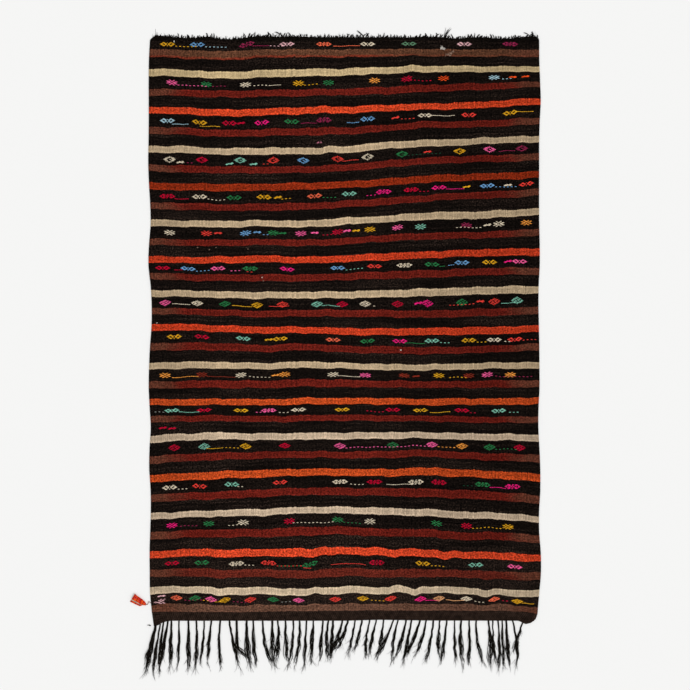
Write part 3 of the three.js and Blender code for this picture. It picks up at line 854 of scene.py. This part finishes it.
def figureFloats(place, figure, stripe, rising=False):
    # floats of one figure: the middle, half length, stripe and reach of each run of marked cells
    cellWidth, cellHeight, chart = figureCharts[figure]
    rise = brocade["rise"] if rising else 0.0
    floats = []
    for row, cells in enumerate(chart):
        level = stripe + (row - (len(chart) - 1) / 2) * cellHeight / stripes["pitch"]
        start = 0
        for run in cells.replace(".x", ". x").replace("x.", "x .").split(" "):
            if run[0] == "x":
                middle = (start + len(run) / 2 - len(cells) / 2) * cellWidth
                floats.append((place + middle, len(run) * cellWidth / 2, level - rise * middle,
                               brocade["reach"]))
            start += len(run)
    return floats


def tailFloats(start, end, style, stripe):
    # floats of one tail: short and apart for dashes, end to end for a line
    pitch, length, reach = (brocade[style + part] for part in ("Pitch", "Float", "Reach"))
    count = max(1, round((end - start) / pitch))
    return [(start + (k + 0.5) * pitch, length / 2, stripe, reach) for k in range(count)]


def gatherFloats():
    # all floats, sorted by yarn
    floats = {yarn: [] for yarn in yarns}
    for row, (usual, figures, tails) in enumerate(brocadeRows):
        stripe = rowLine + 2 * row
        for entry in figures.split(", "):
            words = entry.split()
            figure = words[2] if len(words) > 2 else usual
            drop = brocade["lowDrop"] if words[-1] == "low" else 0.0
            floats[words[1]] += figureFloats(figurePlace(words[0]), figure, stripe + drop,
                                             words[-1] == "rising")
        for entry in tails.split(", "):
            words = entry.split()
            start, end = map(figurePlace, words[0].split("-"))
            drop = {"low": brocade["lowDrop"], "level": 0.0}.get(words[-1], brocade["tailDrop"])
            floats[words[1]] += tailFloats(start, end, words[2], stripe + drop)
    for place, yarn, figure, stripe in strayFigures:
        floats[yarn] += figureFloats(figurePlace(place), figure, stripe)
    return floats


def makeBrocade():
    # each float is a flat round-ended tube that lies along its stripe on the cloth
    along = np.array([-1.0, -0.72, 0.0, 0.72, 1.0])
    rounding = np.array([0.0, 0.85, 1.0, 0.85, 0.0])
    rng = np.random.default_rng(5)
    for yarn, rows in gatherFloats().items():
        place, half, stripe, reach = np.array(rows).T[..., None]
        place = place + rng.normal(0, 0.25, place.shape)
        x = onChart(place + half * along, 0)[0]
        y = stripeHeight(x, stripe + rng.normal(0, 0.003, stripe.shape))
        z = clothLift(x, y) + weave["thickness"] + brocade["sink"]
        radius = reach * mm * rounding * rng.uniform(0.9, 1.1, reach.shape)
        mesh = fillMesh("brocade", *tubes(np.stack([x, y, z], -1), radius, 6, brocade["flat"]))
        wool = yarnMaterial("yarn_" + yarn, yarns[yarn], light=brocade["light"], dark=brocade["dark"])
        addPiece("brocade_" + yarn, mesh, wool, weave["slot"])


makeBrocade()


# Plaited foot: a band of slanting stitches, and the warp ends that hang out of it
# painted shade: the stitches darken down their flanks, to 0.4 of their colour at the lowest
band = {"width": 1690, "rows": 5, "pitch": 8.7, "thickness": 3.2 * mm, "rimBulge": 0.8 * mm,
        "backingEnd": 0.985, "stitchReach": 2.9, "stitchHalf": 6.2, "stitchFlat": 0.62, "slant": 0.95,
        "gridColumns": 240, "gridRows": 6, "colour": "#30241e", "light": 1.75, "flankShade": 0.4,
        "slot": "dark_warp"}
# Foot of the band: place across and height (mm)
bandFoot = [(-830, -25), (-812, -19), (-795, -9), (-774, -2), (-750, 0), (0, 0), (150, 4), (350, 1),
            (755, 0), (785, -15), (809, -9), (828, 6)]
fringe = {"yarns": 11, "steps": 16, "sides": 4, "yarnRadius": 1.1, "inset": 8, "hairs": 24,
          "hairSteps": 7, "hairRadius": 0.7, "colour": "#1a1713"}
# Strands of the fringe: root across, lean of the tip, how far it hangs, and how far its middle bows to
# the right (mm), then how full it is and how loose its yarns are
strands = [
    (-822, -50, 210, 0, 2.6, 0.9), (-801, -34, 234, -5, 1.1, 1.0), (-787, -20, 220, -6, 1.3, 1.0),
    (-768, -40, 218, -2, 1.6, 0.9), (-754, -5, 210, -1, 1.8, 0.9), (-722, -6, 211, 3, 1.0, 0.9),
    (-680, -1, 228, 0, 1.6, 1.2), (-647, -7, 218, 6, 1.4, 1.0), (-612, -21, 198, 5, 1.0, 0.9),
    (-580, -19, 193, -2, 1.3, 0.9), (-541, 3, 211, -8, 1.3, 0.9), (-503, 52, 222, -4, 1.3, 1.8),
    (-471, 48, 161, 0, 1.7, 0.7), (-427, 16, 213, -6, 2.0, 1.5), (-398, 16, 209, -6, 1.4, 1.4),
    (-357, 44, 200, -12, 1.3, 2.2), (-315, 9, 205, -4, 1.8, 1.3), (-293, -6, 184, 6, 1.6, 1.6),
    (-258, 10, 200, -3, 1.3, 1.9), (-225, -22, 196, 6, 1.2, 1.5), (-198, -22, 203, 8, 1.3, 1.5),
    (-166, -11, 211, -2, 1.1, 0.8), (-137, -10, 190, 0, 1.0, 2.8), (-95, -14, 181, -1, 1.5, 1.5),
    (-71, -4, 174, -7, 1.4, 1.4), (-51, -8, 168, -2, 1.7, 1.5), (-11, -60, 155, 6, 1.6, 1.1),
    (14, -48, 125, 2, 1.5, 1.0), (45, -32, 150, 1, 0.9, 1.1), (75, -36, 134, 2, 1.1, 1.5),
    (110, -20, 172, -9, 1.0, 0.9), (138, -34, 156, -3, 1.1, 1.0), (169, -24, 148, 1, 1.0, 1.0),
    (213, -82, 172, 2, 1.2, 1.3), (232, -28, 190, -8, 1.0, 1.2), (267, -50, 168, 2, 1.5, 1.3),
    (290, -38, 190, 0, 1.4, 1.0), (328, -64, 158, 2, 1.3, 1.6), (353, -52, 160, 6, 1.2, 1.0),
    (385, -35, 184, 2, 1.2, 1.4), (413, -4, 156, -4, 1.2, 1.5), (444, -25, 186, -1, 1.2, 1.1),
    (477, 5, 182, -3, 1.0, 1.6), (506, 12, 207, -9, 1.4, 2.2), (539, -2, 204, 3, 1.3, 1.2),
    (571, 35, 199, -12, 1.2, 2.2), (622, 8, 204, 8, 1.6, 2.0), (642, 14, 190, -2, 0.8, 1.6),
    (665, 2, 224, 5, 1.2, 1.4), (683, 7, 213, 0, 1.0, 1.5), (701, 13, 209, -2, 1.5, 1.1),
    (727, 17, 211, 11, 1.1, 1.1), (774, -42, 132, -3, 0.9, 2.2)]
# The strand that is kinked: its number, how far down it bends and where, and its least half width
kinkedStrand = {"number": 12, "share": 0.64, "knee": (2, -118), "spread": 3.6}
# Two yarn ends that stick out of the left selvedge: x, y, height, heading x and y, length and curl
selvedgeEnds = [(-846, -20, 3, -1, 0.05, 15, 0.1), (-842, -22, 2.5, -1, -0.1, 12, -0.2)]
selvedgeEndRadius = 2.1


def footAt(x):
    # height of the band's foot at a place across (mm)
    places, heights = np.array(bandFoot, float).T
    return np.interp(x, places, heights)


def bandPoint(share, up):
    # place on the band (mm): straight from its foot to the cloth's end, by the share of the way up
    places = np.array(bandFoot, float)[:, 0]
    lowX = places[0] + (places[-1] - places[0]) * share
    lowY = footAt(lowX)
    highX = (footLine[0][0] - chartZero[0]) / mm
    highX = highX + ((footLine[0][-1] - chartZero[0]) / mm - highX) * share
    highY = (smooth(*footLine, onChart(highX, 0)[0]) - chartZero[1]) / mm
    return lowX + (highX - lowX) * up, lowY + (highY - lowY) * up


def darkYarn(name, code, light=1.6, flankShade=0.8):
    # goat hair and wool: much browner in some places than in others, with painted shade between the plies
    # and down the flanks
    return yarnMaterial(name, code, 7 * mm, 0.4 * mm, light, 0.5, flankShade)


def makeBand():
    # backing sheet under rows of stitches that all slant up to the right
    share = np.linspace(0, 1, band["gridColumns"] + 1)[None, :]
    up = np.linspace(0, band["backingEnd"], band["gridRows"] + 1)[:, None]
    x, y = onChart(*bandPoint(*np.broadcast_arrays(share, up)))
    top = np.stack([x, y, np.full_like(x, band["thickness"])], -1)
    backing = shell(top, top * [1, 1, 0], np.stack([x, y], -1), band["rimBulge"])
    rng = np.random.default_rng(8)
    count = round(band["width"] / band["pitch"])
    column, row = (g.reshape(-1, 1) for g in np.meshgrid(np.arange(count), np.arange(band["rows"])))
    share = (column + 0.5 + 0.5 * (row % 2)) / (count + 0.5) + rng.normal(0, 0.0002, column.shape)
    up = (row + 0.55) / band["rows"]
    t = np.array([-1.0, -0.75, 0.0, 0.75, 1.0])
    x, y = bandPoint(share, up)
    x = x + t * band["stitchHalf"] * np.cos(band["slant"])
    y = y + t * band["stitchHalf"] * np.sin(band["slant"])
    z = band["thickness"] + (0.5 - 1.6 * t * t) * mm
    radius = band["stitchReach"] * mm * np.sqrt(1 - 0.9 * t * t)
    radius = radius * rng.uniform(0.9, 1.1, x.shape[:1])[:, None]
    x, y = onChart(x, y)
    stitches = tubes(np.stack([x, y, np.broadcast_to(z, x.shape)], -1), radius, 6, band["stitchFlat"])
    mesh = fillMesh("plaitedBand", *joined([backing, stitches]))
    yarn = darkYarn("plaitedYarn", band["colour"], band["light"], band["flankShade"])
    addPiece("plaitedBand", mesh, yarn, band["slot"], "plaited_end")


def strandLines(t, rng):
    # middle lines of the strands, and how far their yarns spread: root to tip with the lean and the
    # bow, plus small sways and a fine crimp as sines
    table = np.array(strands, float)
    count = len(table)
    root, lean, hang, bow, full, loose = table.T[..., None]

    def some(low, high):
        # one random number for each strand
        return rng.uniform(low, high, (count, 1))

    x = root + lean * t ** 1.15 + bow * np.sin(np.pi * t)
    x = x + some(0.7, 2.0) * np.sin(some(15, 24) * t + some(0, 6)) * np.minimum(1, 2 * t)
    x = x + some(0.6, 1.9) * np.sin(some(26, 44) * t + some(0, 6)) * np.minimum(1, 6 * t)
    y = footAt(root) + fringe["inset"] - (hang + fringe["inset"]) * t
    kinked = kinkedStrand["number"]
    bend = np.array([(0, fringe["inset"]), kinkedStrand["knee"], table[kinked, 1:3] * [1, -1]], float)
    shares = [0, kinkedStrand["share"], 1]
    x[kinked] = table[kinked, 0] + np.interp(t, shares, bend[:, 0])
    y[kinked] = np.interp(t, shares, bend[:, 1])
    spread = smooth([0, 0.2, 0.45, 0.75, 1], [2.0, 2.1, 3.2, 5.3, 1.9], t)
    spread = spread * (1 + (full - 1) * np.minimum(1, 0.4 + 2 * t)) * some(0.92, 1.08)
    spread[kinked] = np.maximum(spread[kinked], kinkedStrand["spread"])
    return x, y, spread, full, loose


def makeFringe():
    # yarns wind loosely round the middle line of their strand, each with its own length and stray
    rng = np.random.default_rng(21)
    t = np.linspace(0, 1, fringe["steps"])
    x, y, spread, full, loose = strandLines(t, rng)
    slopeX, slopeY = np.gradient(x, axis=1), np.gradient(y, axis=1)
    size = np.hypot(slopeX, slopeY)
    sideX, sideY = (-slopeY / size)[:, None], (slopeX / size)[:, None]
    count, yarnCount = len(strands), fringe["yarns"]
    shape = (count, yarnCount, 1)
    reach = rng.uniform(0.76, 1.0, shape)
    reach[:, 0] = 1.0
    reach[kinkedStrand["number"]] = rng.uniform(0.93, 1.0, shape[1:])
    turns = rng.uniform(0.3, 1.2, (count, 1, 1)) * t
    turn = 2 * np.pi * (np.arange(yarnCount)[None, :, None] / yarnCount + turns)
    deep = np.where(np.arange(yarnCount) % 3 == 0, 0.35, 1.0)[None, :, None]
    own = t * reach
    x3, y3 = (np.stack([np.interp(group, t, line) for group, line in zip(own, lines)]) for lines in (x, y))
    away = rng.normal(0, 2.2, shape) * loose[:, None] * t ** 1.3
    waver = rng.normal(0, 0.9, shape) * loose[:, None] * np.sin(3 * np.pi * t + rng.uniform(0, 6, shape))
    thick = fringe["yarnRadius"] * (0.68 + 0.32 * full[:, None]) * rng.uniform(0.85, 1.15, shape)
    radius = thick * smooth([0, 0.6, 0.88, 1], [1, 1.05, 0.8, 0.22], t)
    off = deep * spread[:, None] * np.cos(turn) + away + waver * np.minimum(1, 3 * t)
    x3, y3 = x3 + off * sideX, y3 + off * sideY
    z3 = radius + 0.1 + 0.35 * deep * spread[:, None] * (1 + np.sin(turn)) * (1 - 0.6 * t)
    px, py = onChart(x3, y3)
    paths = np.stack([px, py, z3 * mm], -1).reshape(-1, fringe["steps"], 3)
    radii = np.broadcast_to(radius * mm, z3.shape).reshape(-1, fringe["steps"])
    mesh = fillMesh("warpFringe", *tubes(paths, radii, fringe["sides"]))
    addPiece("warpFringe", mesh, darkYarn("fringeYarn", fringe["colour"]), band["slot"], "plaited_end")
    return x, y, spread


def hairTubes(x, y, z, headX, headY, length, curl, radius, steps, rng):
    # fine hairs: from each place along its own heading, bent sideways by the curl (mm)
    t = np.linspace(0, 1, steps)
    given = (x, y, z, headX, headY, length, curl)
    x, y, z, headX, headY, length, curl = (np.reshape(v, (-1, 1)) for v in given)
    bend = curl * t * t
    px = x + length * (headX * t - headY * bend)
    py = y + length * (headY * t + headX * bend)
    pz = np.maximum(z * (1 - 0.5 * t) + rng.uniform(0, 0.6, x.shape) * t, radius)
    radii = np.broadcast_to(radius * mm * (1 - 0.6 * t), px.shape)
    px, py = onChart(px, py)
    return tubes(np.stack([px, py, pz * mm], -1), radii, 3)


def makeFringeHair(x, y, spread):
    # hairs that stand off the strands, more of them lower down
    rng = np.random.default_rng(34)
    count = len(strands) * fringe["hairs"]
    strand = np.repeat(np.arange(len(strands)), fringe["hairs"])
    spot = rng.uniform(0.1, 0.94, count) ** 0.6 * (fringe["steps"] - 1)
    low = np.minimum(spot.astype(int), fringe["steps"] - 2)
    part = spot - low
    startX = x[strand, low] * (1 - part) + x[strand, low + 1] * part
    startY = y[strand, low] * (1 - part) + y[strand, low + 1] * part
    wide = spread[strand, low]
    side = rng.uniform(-1, 1, count)
    lean = np.arctan2(x[strand, low + 1] - x[strand, low], y[strand, low] - y[strand, low + 1])
    angle = -np.pi / 2 + lean + side * 0.14 + rng.normal(0, 0.1, count)
    hairs = hairTubes(startX + side * wide * 0.9, startY, rng.uniform(0.5, 4, count), np.cos(angle),
                      np.sin(angle), rng.uniform(14, 42, count), rng.normal(0, 0.2, count),
                      fringe["hairRadius"], fringe["hairSteps"], rng)
    knot = hairTubes(*zip(*selvedgeEnds), selvedgeEndRadius, fringe["hairSteps"], rng)
    mesh = fillMesh("fringeHair", *joined([hairs, knot]))
    addPiece("fringeHair", mesh, darkYarn("fringeHairWool", fringe["colour"]), band["slot"], "plaited_end")


makeBand()
makeFringeHair(*makeFringe())


# Frayed head: a strip of knots, cut warp ends in tufts, and their fine hairs
frayed = {"tufts": 240, "ends": 3, "stubs": 190, "hairs": 80, "endRadius": 1.5, "steps": 7,
          "hairRadius": 0.55, "hairSteps": 6, "colour": "#100d0a", "corner": 16, "gridColumns": 300,
          "rimBulge": 0.6 * mm, "height": 2534, "slot": "dark_warp"}
# The one tall tuft: its place across and along (mm), and its hairs
tallTuft = {"x": 431, "y": 2532.0, "count": 10, "radius": 1.25, "steps": 8}
# Two hairs at the left corner: x, y, height, heading x and y, length and curl
cornerHairRadius = 0.8
cornerHairs = [(-824, 2540, 1, 0.1, 1, 34, 0.1), (-822, 2542, 1, 0.2, 1, 18, -0.15)]
# Upper edge of the strip of knots: place across and height (mm)
headEdge = [(-840, 2535), (-820, 2543), (-789, 2541), (-749, 2537), (-710, 2533), (-658, 2531),
            (-627, 2536), (-591, 2538), (-563, 2531), (-539, 2527), (-491, 2527), (-452, 2530),
            (-422, 2535), (-374, 2541), (-335, 2539), (-296, 2537), (-239, 2539), (-104, 2535),
            (0, 2536), (117, 2534), (210, 2536), (270, 2534), (320, 2537), (417, 2536), (450, 2531),
            (498, 2529), (537, 2534), (585, 2536), (674, 2529), (715, 2529), (755, 2534), (790, 2537),
            (813, 2540), (838, 2536)]


def headAt(x):
    # height of the strip's upper edge at a place across (mm)
    places, heights = np.array(headEdge, float).T
    return np.interp(x, places, heights)


def knotStrip(left, right):
    # sheet from the cloth's end to the strip's upper edge, with its upper corners drawn in
    share = np.linspace(0, 1, frayed["gridColumns"] + 1)[None, :]
    up = np.linspace(0, 1, 3)[:, None]
    inset = frayed["corner"] * up * up * np.where(share < 0.5, 1, 0.45)
    lowY = stripes["headHeight"] + 0.3
    gx = left + (right - left) * share + inset * np.clip(1 - 2 * share, -1, 1) ** 41
    x, y = onChart(gx, lowY + (headAt(gx) - lowY) * up)
    top = np.stack([x, y, np.full_like(x, weave["thickness"])], -1)
    return shell(top, top * [1, 1, 0], np.stack([x, y], -1), frayed["rimBulge"])


def cutEnds(left, right, rng):
    # tufts of a few warp ends and single stubs, which lean to the right and curl over. The tufts'
    # length swells and falls along the edge
    count = frayed["tufts"]
    width = right - left - 1.4 * frayed["corner"]
    place = left + frayed["corner"] + width * (np.arange(count) + 0.5) / count
    place = place + rng.normal(0, 1.8, count)
    swell = 0.5 + 0.3 * np.sin(place / 37) * np.sin(place / 83 + 1) + 0.3 * np.sin(place / 13 + 2)
    length = np.clip(rng.uniform(8, 21, count) * (0.5 + 0.8 * swell), 4, 24)
    length = length * np.clip((place - left) / 150, 0.4, 1)
    each = np.repeat(np.arange(count), frayed["ends"])
    stubPlace = rng.uniform(left + frayed["corner"], right - 4, frayed["stubs"])
    lean = 0.3 + 0.3 * np.sin(place / 140 - 1.2) + rng.normal(0, 0.24, count)
    curl = rng.normal(0.15, 0.55, count)
    place = np.concatenate([place[each] + rng.normal(0, 0.7, each.size), stubPlace])
    length = np.concatenate([length[each] * rng.uniform(0.75, 1.0, each.size),
                             rng.uniform(2, 5, stubPlace.size)])
    lean = np.concatenate([lean[each] + rng.normal(0, 0.05, each.size),
                           rng.normal(0.3, 0.4, stubPlace.size)])
    curl = np.concatenate([curl[each], rng.normal(0, 0.5, stubPlace.size)])
    t = np.linspace(0, 1, frayed["steps"])
    curl = curl[:, None] * t * t
    hx, hy = np.cos(np.pi / 2 - lean)[:, None], np.sin(np.pi / 2 - lean)[:, None]
    px = place[:, None] + length[:, None] * (hx * t - hy * curl)
    py = headAt(place)[:, None] - 3 + (length[:, None] + 3) * (hy * t + hx * curl)
    pz = np.broadcast_to(1.5 + 1.4 * rng.uniform(0, 1, (len(place), 1)) * (1 - t), px.shape)
    radius = frayed["endRadius"] * smooth([0, 0.5, 1], [1, 0.95, 0.6], t)
    x, y = onChart(px, py)
    return tubes(np.stack([x, y, pz * mm], -1), np.broadcast_to(radius * mm, px.shape), 5)


def headHairs(left, right, rng):
    # the tall tuft, fine hairs all along the edge, and the two at the left corner
    count = tallTuft["count"]
    tall = hairTubes(tallTuft["x"] + rng.normal(0, 4, count), np.full(count, tallTuft["y"]),
                     rng.uniform(1, 3, count), rng.normal(0.05, 0.06, count), np.ones(count),
                     rng.uniform(26, 50, count), rng.normal(-0.4, 0.14, count), tallTuft["radius"],
                     tallTuft["steps"], rng)
    count = frayed["hairs"]
    place = rng.uniform(left + 6, right - 6, count)
    angle = np.pi / 2 - rng.normal(0.3, 0.5, count)
    hairs = hairTubes(place, headAt(place) - 2, rng.uniform(0.5, 2.5, count), np.cos(angle),
                      np.sin(angle), rng.uniform(6, 22, count), rng.normal(0, 0.5, count),
                      frayed["hairRadius"], frayed["hairSteps"], rng)
    corner = hairTubes(*zip(*cornerHairs), cornerHairRadius, tallTuft["steps"], rng)
    return joined([tall, hairs, corner])


def makeFrayedEnd():
    # strip of knots from selvedge to selvedge, with its cut ends and hairs
    rng = np.random.default_rng(55)
    level = onChart(0, frayed["height"])[1]
    left, right = (float(smooth(*line, level) - chartZero[0]) / mm for line in (leftLine, rightLine))
    shapes = [knotStrip(left, right), cutEnds(left, right, rng), headHairs(left, right, rng)]
    mesh = fillMesh("frayedHead", *joined(shapes))
    addPiece("frayedHead", mesh, darkYarn("frayedYarn", frayed["colour"]), frayed["slot"], "frayed_end")


makeFrayedEnd()


# Charm: a scrap folded along its upper edge, its lower leaf longer than its upper and hemmed, both
# gathered to a neck
charm = {"thickness": 1.2, "sections": 41, "legSteps": 12, "foldSteps": 10, "hemRadius": 0.7,
         "hemSteps": 6, "rimBulge": 0.3 * mm, "flat": (0.075, 0.064), "run": 55, "slot": "charm_cloth"}
# From the open mouth to the neck: fold x and y, free edge x and y, fold radius, then the shares of
# the width that the upper leaf and the hem cover
charmSections = [(-913, 117, -934, 83, 4.4, 0.66, 0.2), (-903, 107, -919, 76, 4.2, 0.64, 0.2),
                 (-892, 100, -904, 69, 3.6, 0.66, 0.19), (-881, 92, -891, 64, 2.9, 0.72, 0.16),
                 (-872, 84, -880, 68, 2, 0.78, 0.12), (-865, 75, -866.5, 67, 0.95, 0.85, 0.07)]


def charmGrid(off):
    # grid of the scrap at a distance off the middle of its cloth: hem, small half turn, lower leaf,
    # large half turn and upper leaf
    at = np.linspace(0, len(charmSections) - 1, charm["sections"])
    foldX, foldY, edgeX, edgeY, radius, leaf, hem = smooth(np.arange(len(charmSections)),
                                                           np.array(charmSections).T, at)
    width = np.hypot(edgeX - foldX, edgeY - foldY)
    wayX, wayY = (edgeX - foldX) / width, (edgeY - foldY) / width
    lowest, hemRadius = charm["thickness"] / 2, charm["hemRadius"]
    leg = np.linspace(0, 1, charm["legSteps"] + 1)[:, None]
    level = 0 * leg * radius
    turn = np.pi * (np.arange(1, charm["foldSteps"]) / charm["foldSteps"])[:, None]
    hemTurn = np.pi * (np.arange(1, charm["hemSteps"]) / charm["hemSteps"])[:, None]
    bend, hemBend = radius - off, hemRadius - off
    across = np.concatenate([width * (1 - hem) + width * hem * leg, width + hemBend * np.sin(hemTurn),
                             width + (radius - width) * leg, radius - bend * np.sin(turn),
                             radius + (width * leaf - radius) * leg])
    height = np.concatenate([lowest + 2 * hemRadius - off + level,
                             lowest + hemRadius + hemBend * np.cos(hemTurn) + 0 * width,
                             lowest + off + level, lowest + radius - bend * np.cos(turn),
                             lowest + 2 * radius - off + level])
    x, y = onChart(foldX + wayX * across, foldY + wayY * across)
    return np.stack([x, y, height * mm], -1).transpose(1, 0, 2)


def charmMaterial():
    # orange-red scrap with darker bars and crimson spots outside, pale and greenish inside, with painted
    # shade in the low parts of its weave
    material, tree, shader = newMaterial("charmCloth")
    way = mapOf(tree)
    threads = useGroup(tree, weftFaced, {"Way": way, "Warp Pitch": 1.4 * mm, "Weft Pitch": 0.9 * mm})
    flame = ease(tree, noise(tree, way, 55.0, 1.0, 0.4), 0.4, 0.6)
    red = mix(tree, flame, linear("#e2521c"), linear("#c8301a"))
    bars = calc(tree, "SINE", times(tree, parts(tree, way)[0], 2 * np.pi / (13 * mm)))
    red = mix(tree, ease(tree, bars, 0.3, 0.95, 0.0, 0.8), red, linear("#8e1d10"))
    red = mix(tree, ease(tree, noise(tree, way, 90.0, 0.0), 0.6, 0.68), red, linear("#b01238"))
    inner = mix(tree, ease(tree, noise(tree, way, 110.0, 1.0), 0.45, 0.6), linear("#d9d2c2"),
                linear("#8fbcb0"))
    back = addNode(tree, "Attribute", attribute_name="inner").outputs["Fac"]
    colour = mix(tree, back, red, inner)
    # painted shade: darker in the low parts of the weave
    colour = scaled(tree, colour, ease(tree, threads["Height"], 0.1, 0.8, 0.75, 1.05))
    finishMaterial(tree, shader, colour, bump(tree, threads["Height"], 0.3 * mm))
    return material


def makeCharm():
    # the two sides of the scrap are told apart by an attribute on its points
    inside, outside = (charmGrid(side * charm["thickness"] / 2) for side in (1, -1))
    sections, steps = outside.shape[:2]
    along = np.linspace(0, charm["run"], sections)[:, None] * mm
    across = np.linspace(0, charm["flat"][0], steps)[None, :]
    spots = np.stack(np.broadcast_arrays(along, across), -1)
    points, faces, places = shell(outside, inside, spots, charm["rimBulge"])
    mesh = fillMesh("foldedCharm", points, faces, places)
    side = np.zeros(len(points))
    side[sections * steps:2 * sections * steps] = 1
    mesh.attributes.new("inner", "FLOAT", "POINT").data.foreach_set("value", side)
    piece = addPiece("foldedCharm", mesh, charmMaterial(), charm["slot"], "charm")


makeCharm()


# Stray tufts of pale wool caught on the face: place across and along, length and width (mm), dye
tuftSpots = [(420, 2490, 11, 11, "pale"), (428, 2486, 13, 9, "pale"), (444, 2460, 14, 6, "blush"),
             (459, 2466, 12, 8, "blush"), (468, 2472, 9, 7, "blush"), (455, 2456, 10, 5, "blush"),
             (-743, 2517, 5, 5, "pale"), (-422, 1615, 4, 3, "blush"), (-361, 1491, 5, 3, "pale"),
             (-354, 1477, 5, 3, "blush"), (-640, 1621, 4, 3, "blush"), (-560, 1622, 4, 3, "blush"),
             (-590, 1612, 4, 3, "blush"), (-817, 1294, 4, 3, "pale"), (243, 1176, 5, 4, "pale"),
             (-117, 2078, 9, 4, "rose"), (-104, 2078, 7, 4, "rose")]
tuftDyes = {"pale": "#f2ede4", "blush": "#a98a78", "rose": "#e08aa0"}
tuft = {"hairs": 60, "steps": 6, "radius": 0.8, "heap": 3.5}


def makeTufts():
    # curled hairs in a low heap at each spot, longer across the rug than along it
    for dye, code in tuftDyes.items():
        rng = np.random.default_rng(len(dye))
        heaps = []
        for x, y, long, wide, kind in tuftSpots:
            if kind != dye:
                continue
            count = tuft["hairs"]
            angle = rng.uniform(0, 2 * np.pi, count)
            floor = (float(clothLift(*onChart(x, y))) + weave["thickness"]) / mm
            heaps.append(hairTubes(
                x + rng.normal(0, long * 0.17, count), y + rng.normal(0, wide * 0.17, count),
                floor + rng.uniform(0.3, tuft["heap"], count), np.cos(angle), wide / long * np.sin(angle),
                rng.uniform(0.3, 0.6, count) * long, rng.normal(0, 0.9, count), tuft["radius"],
                tuft["steps"], rng))
        mesh = fillMesh("strayWool", *joined(heaps))
        addPiece("strayWool_" + dye, mesh, yarnMaterial("strayWool_" + dye, code), weave["slot"])


makeTufts()


def makeStage():
    # pale floor, an even pale sky and one soft sun
    half, drop = stage["floorHalf"], stage["floorDrop"]
    mesh = bpy.data.meshes.new("floor")
    corners = [(-half, -half, -drop), (half, -half, -drop), (half, half, -drop), (-half, half, -drop)]
    mesh.from_pydata(corners, [], [(0, 1, 2, 3)])
    floor = bpy.data.objects.new("floor", mesh)
    bpy.context.scene.collection.objects.link(floor)
    material, tree, shader = newMaterial("paleFloor", 1.0, 0.0)
    tone = stage["floorTone"]
    shader.inputs["Base Color"].default_value = (tone, tone, tone * 0.995, 1)
    mesh.materials.append(material)
    sun = bpy.data.objects.new("sun", bpy.data.lights.new("sun", "SUN"))
    sun.data.energy, sun.data.angle = stage["sunPower"], stage["sunAngle"]
    sun.rotation_euler = stage["sunTurn"]
    bpy.context.scene.collection.objects.link(sun)
    world = bpy.data.worlds.new("sky")
    bpy.context.scene.world = world
    world.use_nodes = True
    tree = world.node_tree
    seen = addNode(tree, "LightPath").outputs["Is Camera Ray"]
    glow = calc(tree, "MULTIPLY_ADD", seen, stage["seenSky"] - stage["skyGlow"], stage["skyGlow"])
    tree.links.new(glow, tree.nodes["Background"].inputs["Strength"])
    tree.nodes["Background"].inputs["Color"].default_value = (1, 1, 0.995, 1)


makeStage()
print("stage made")
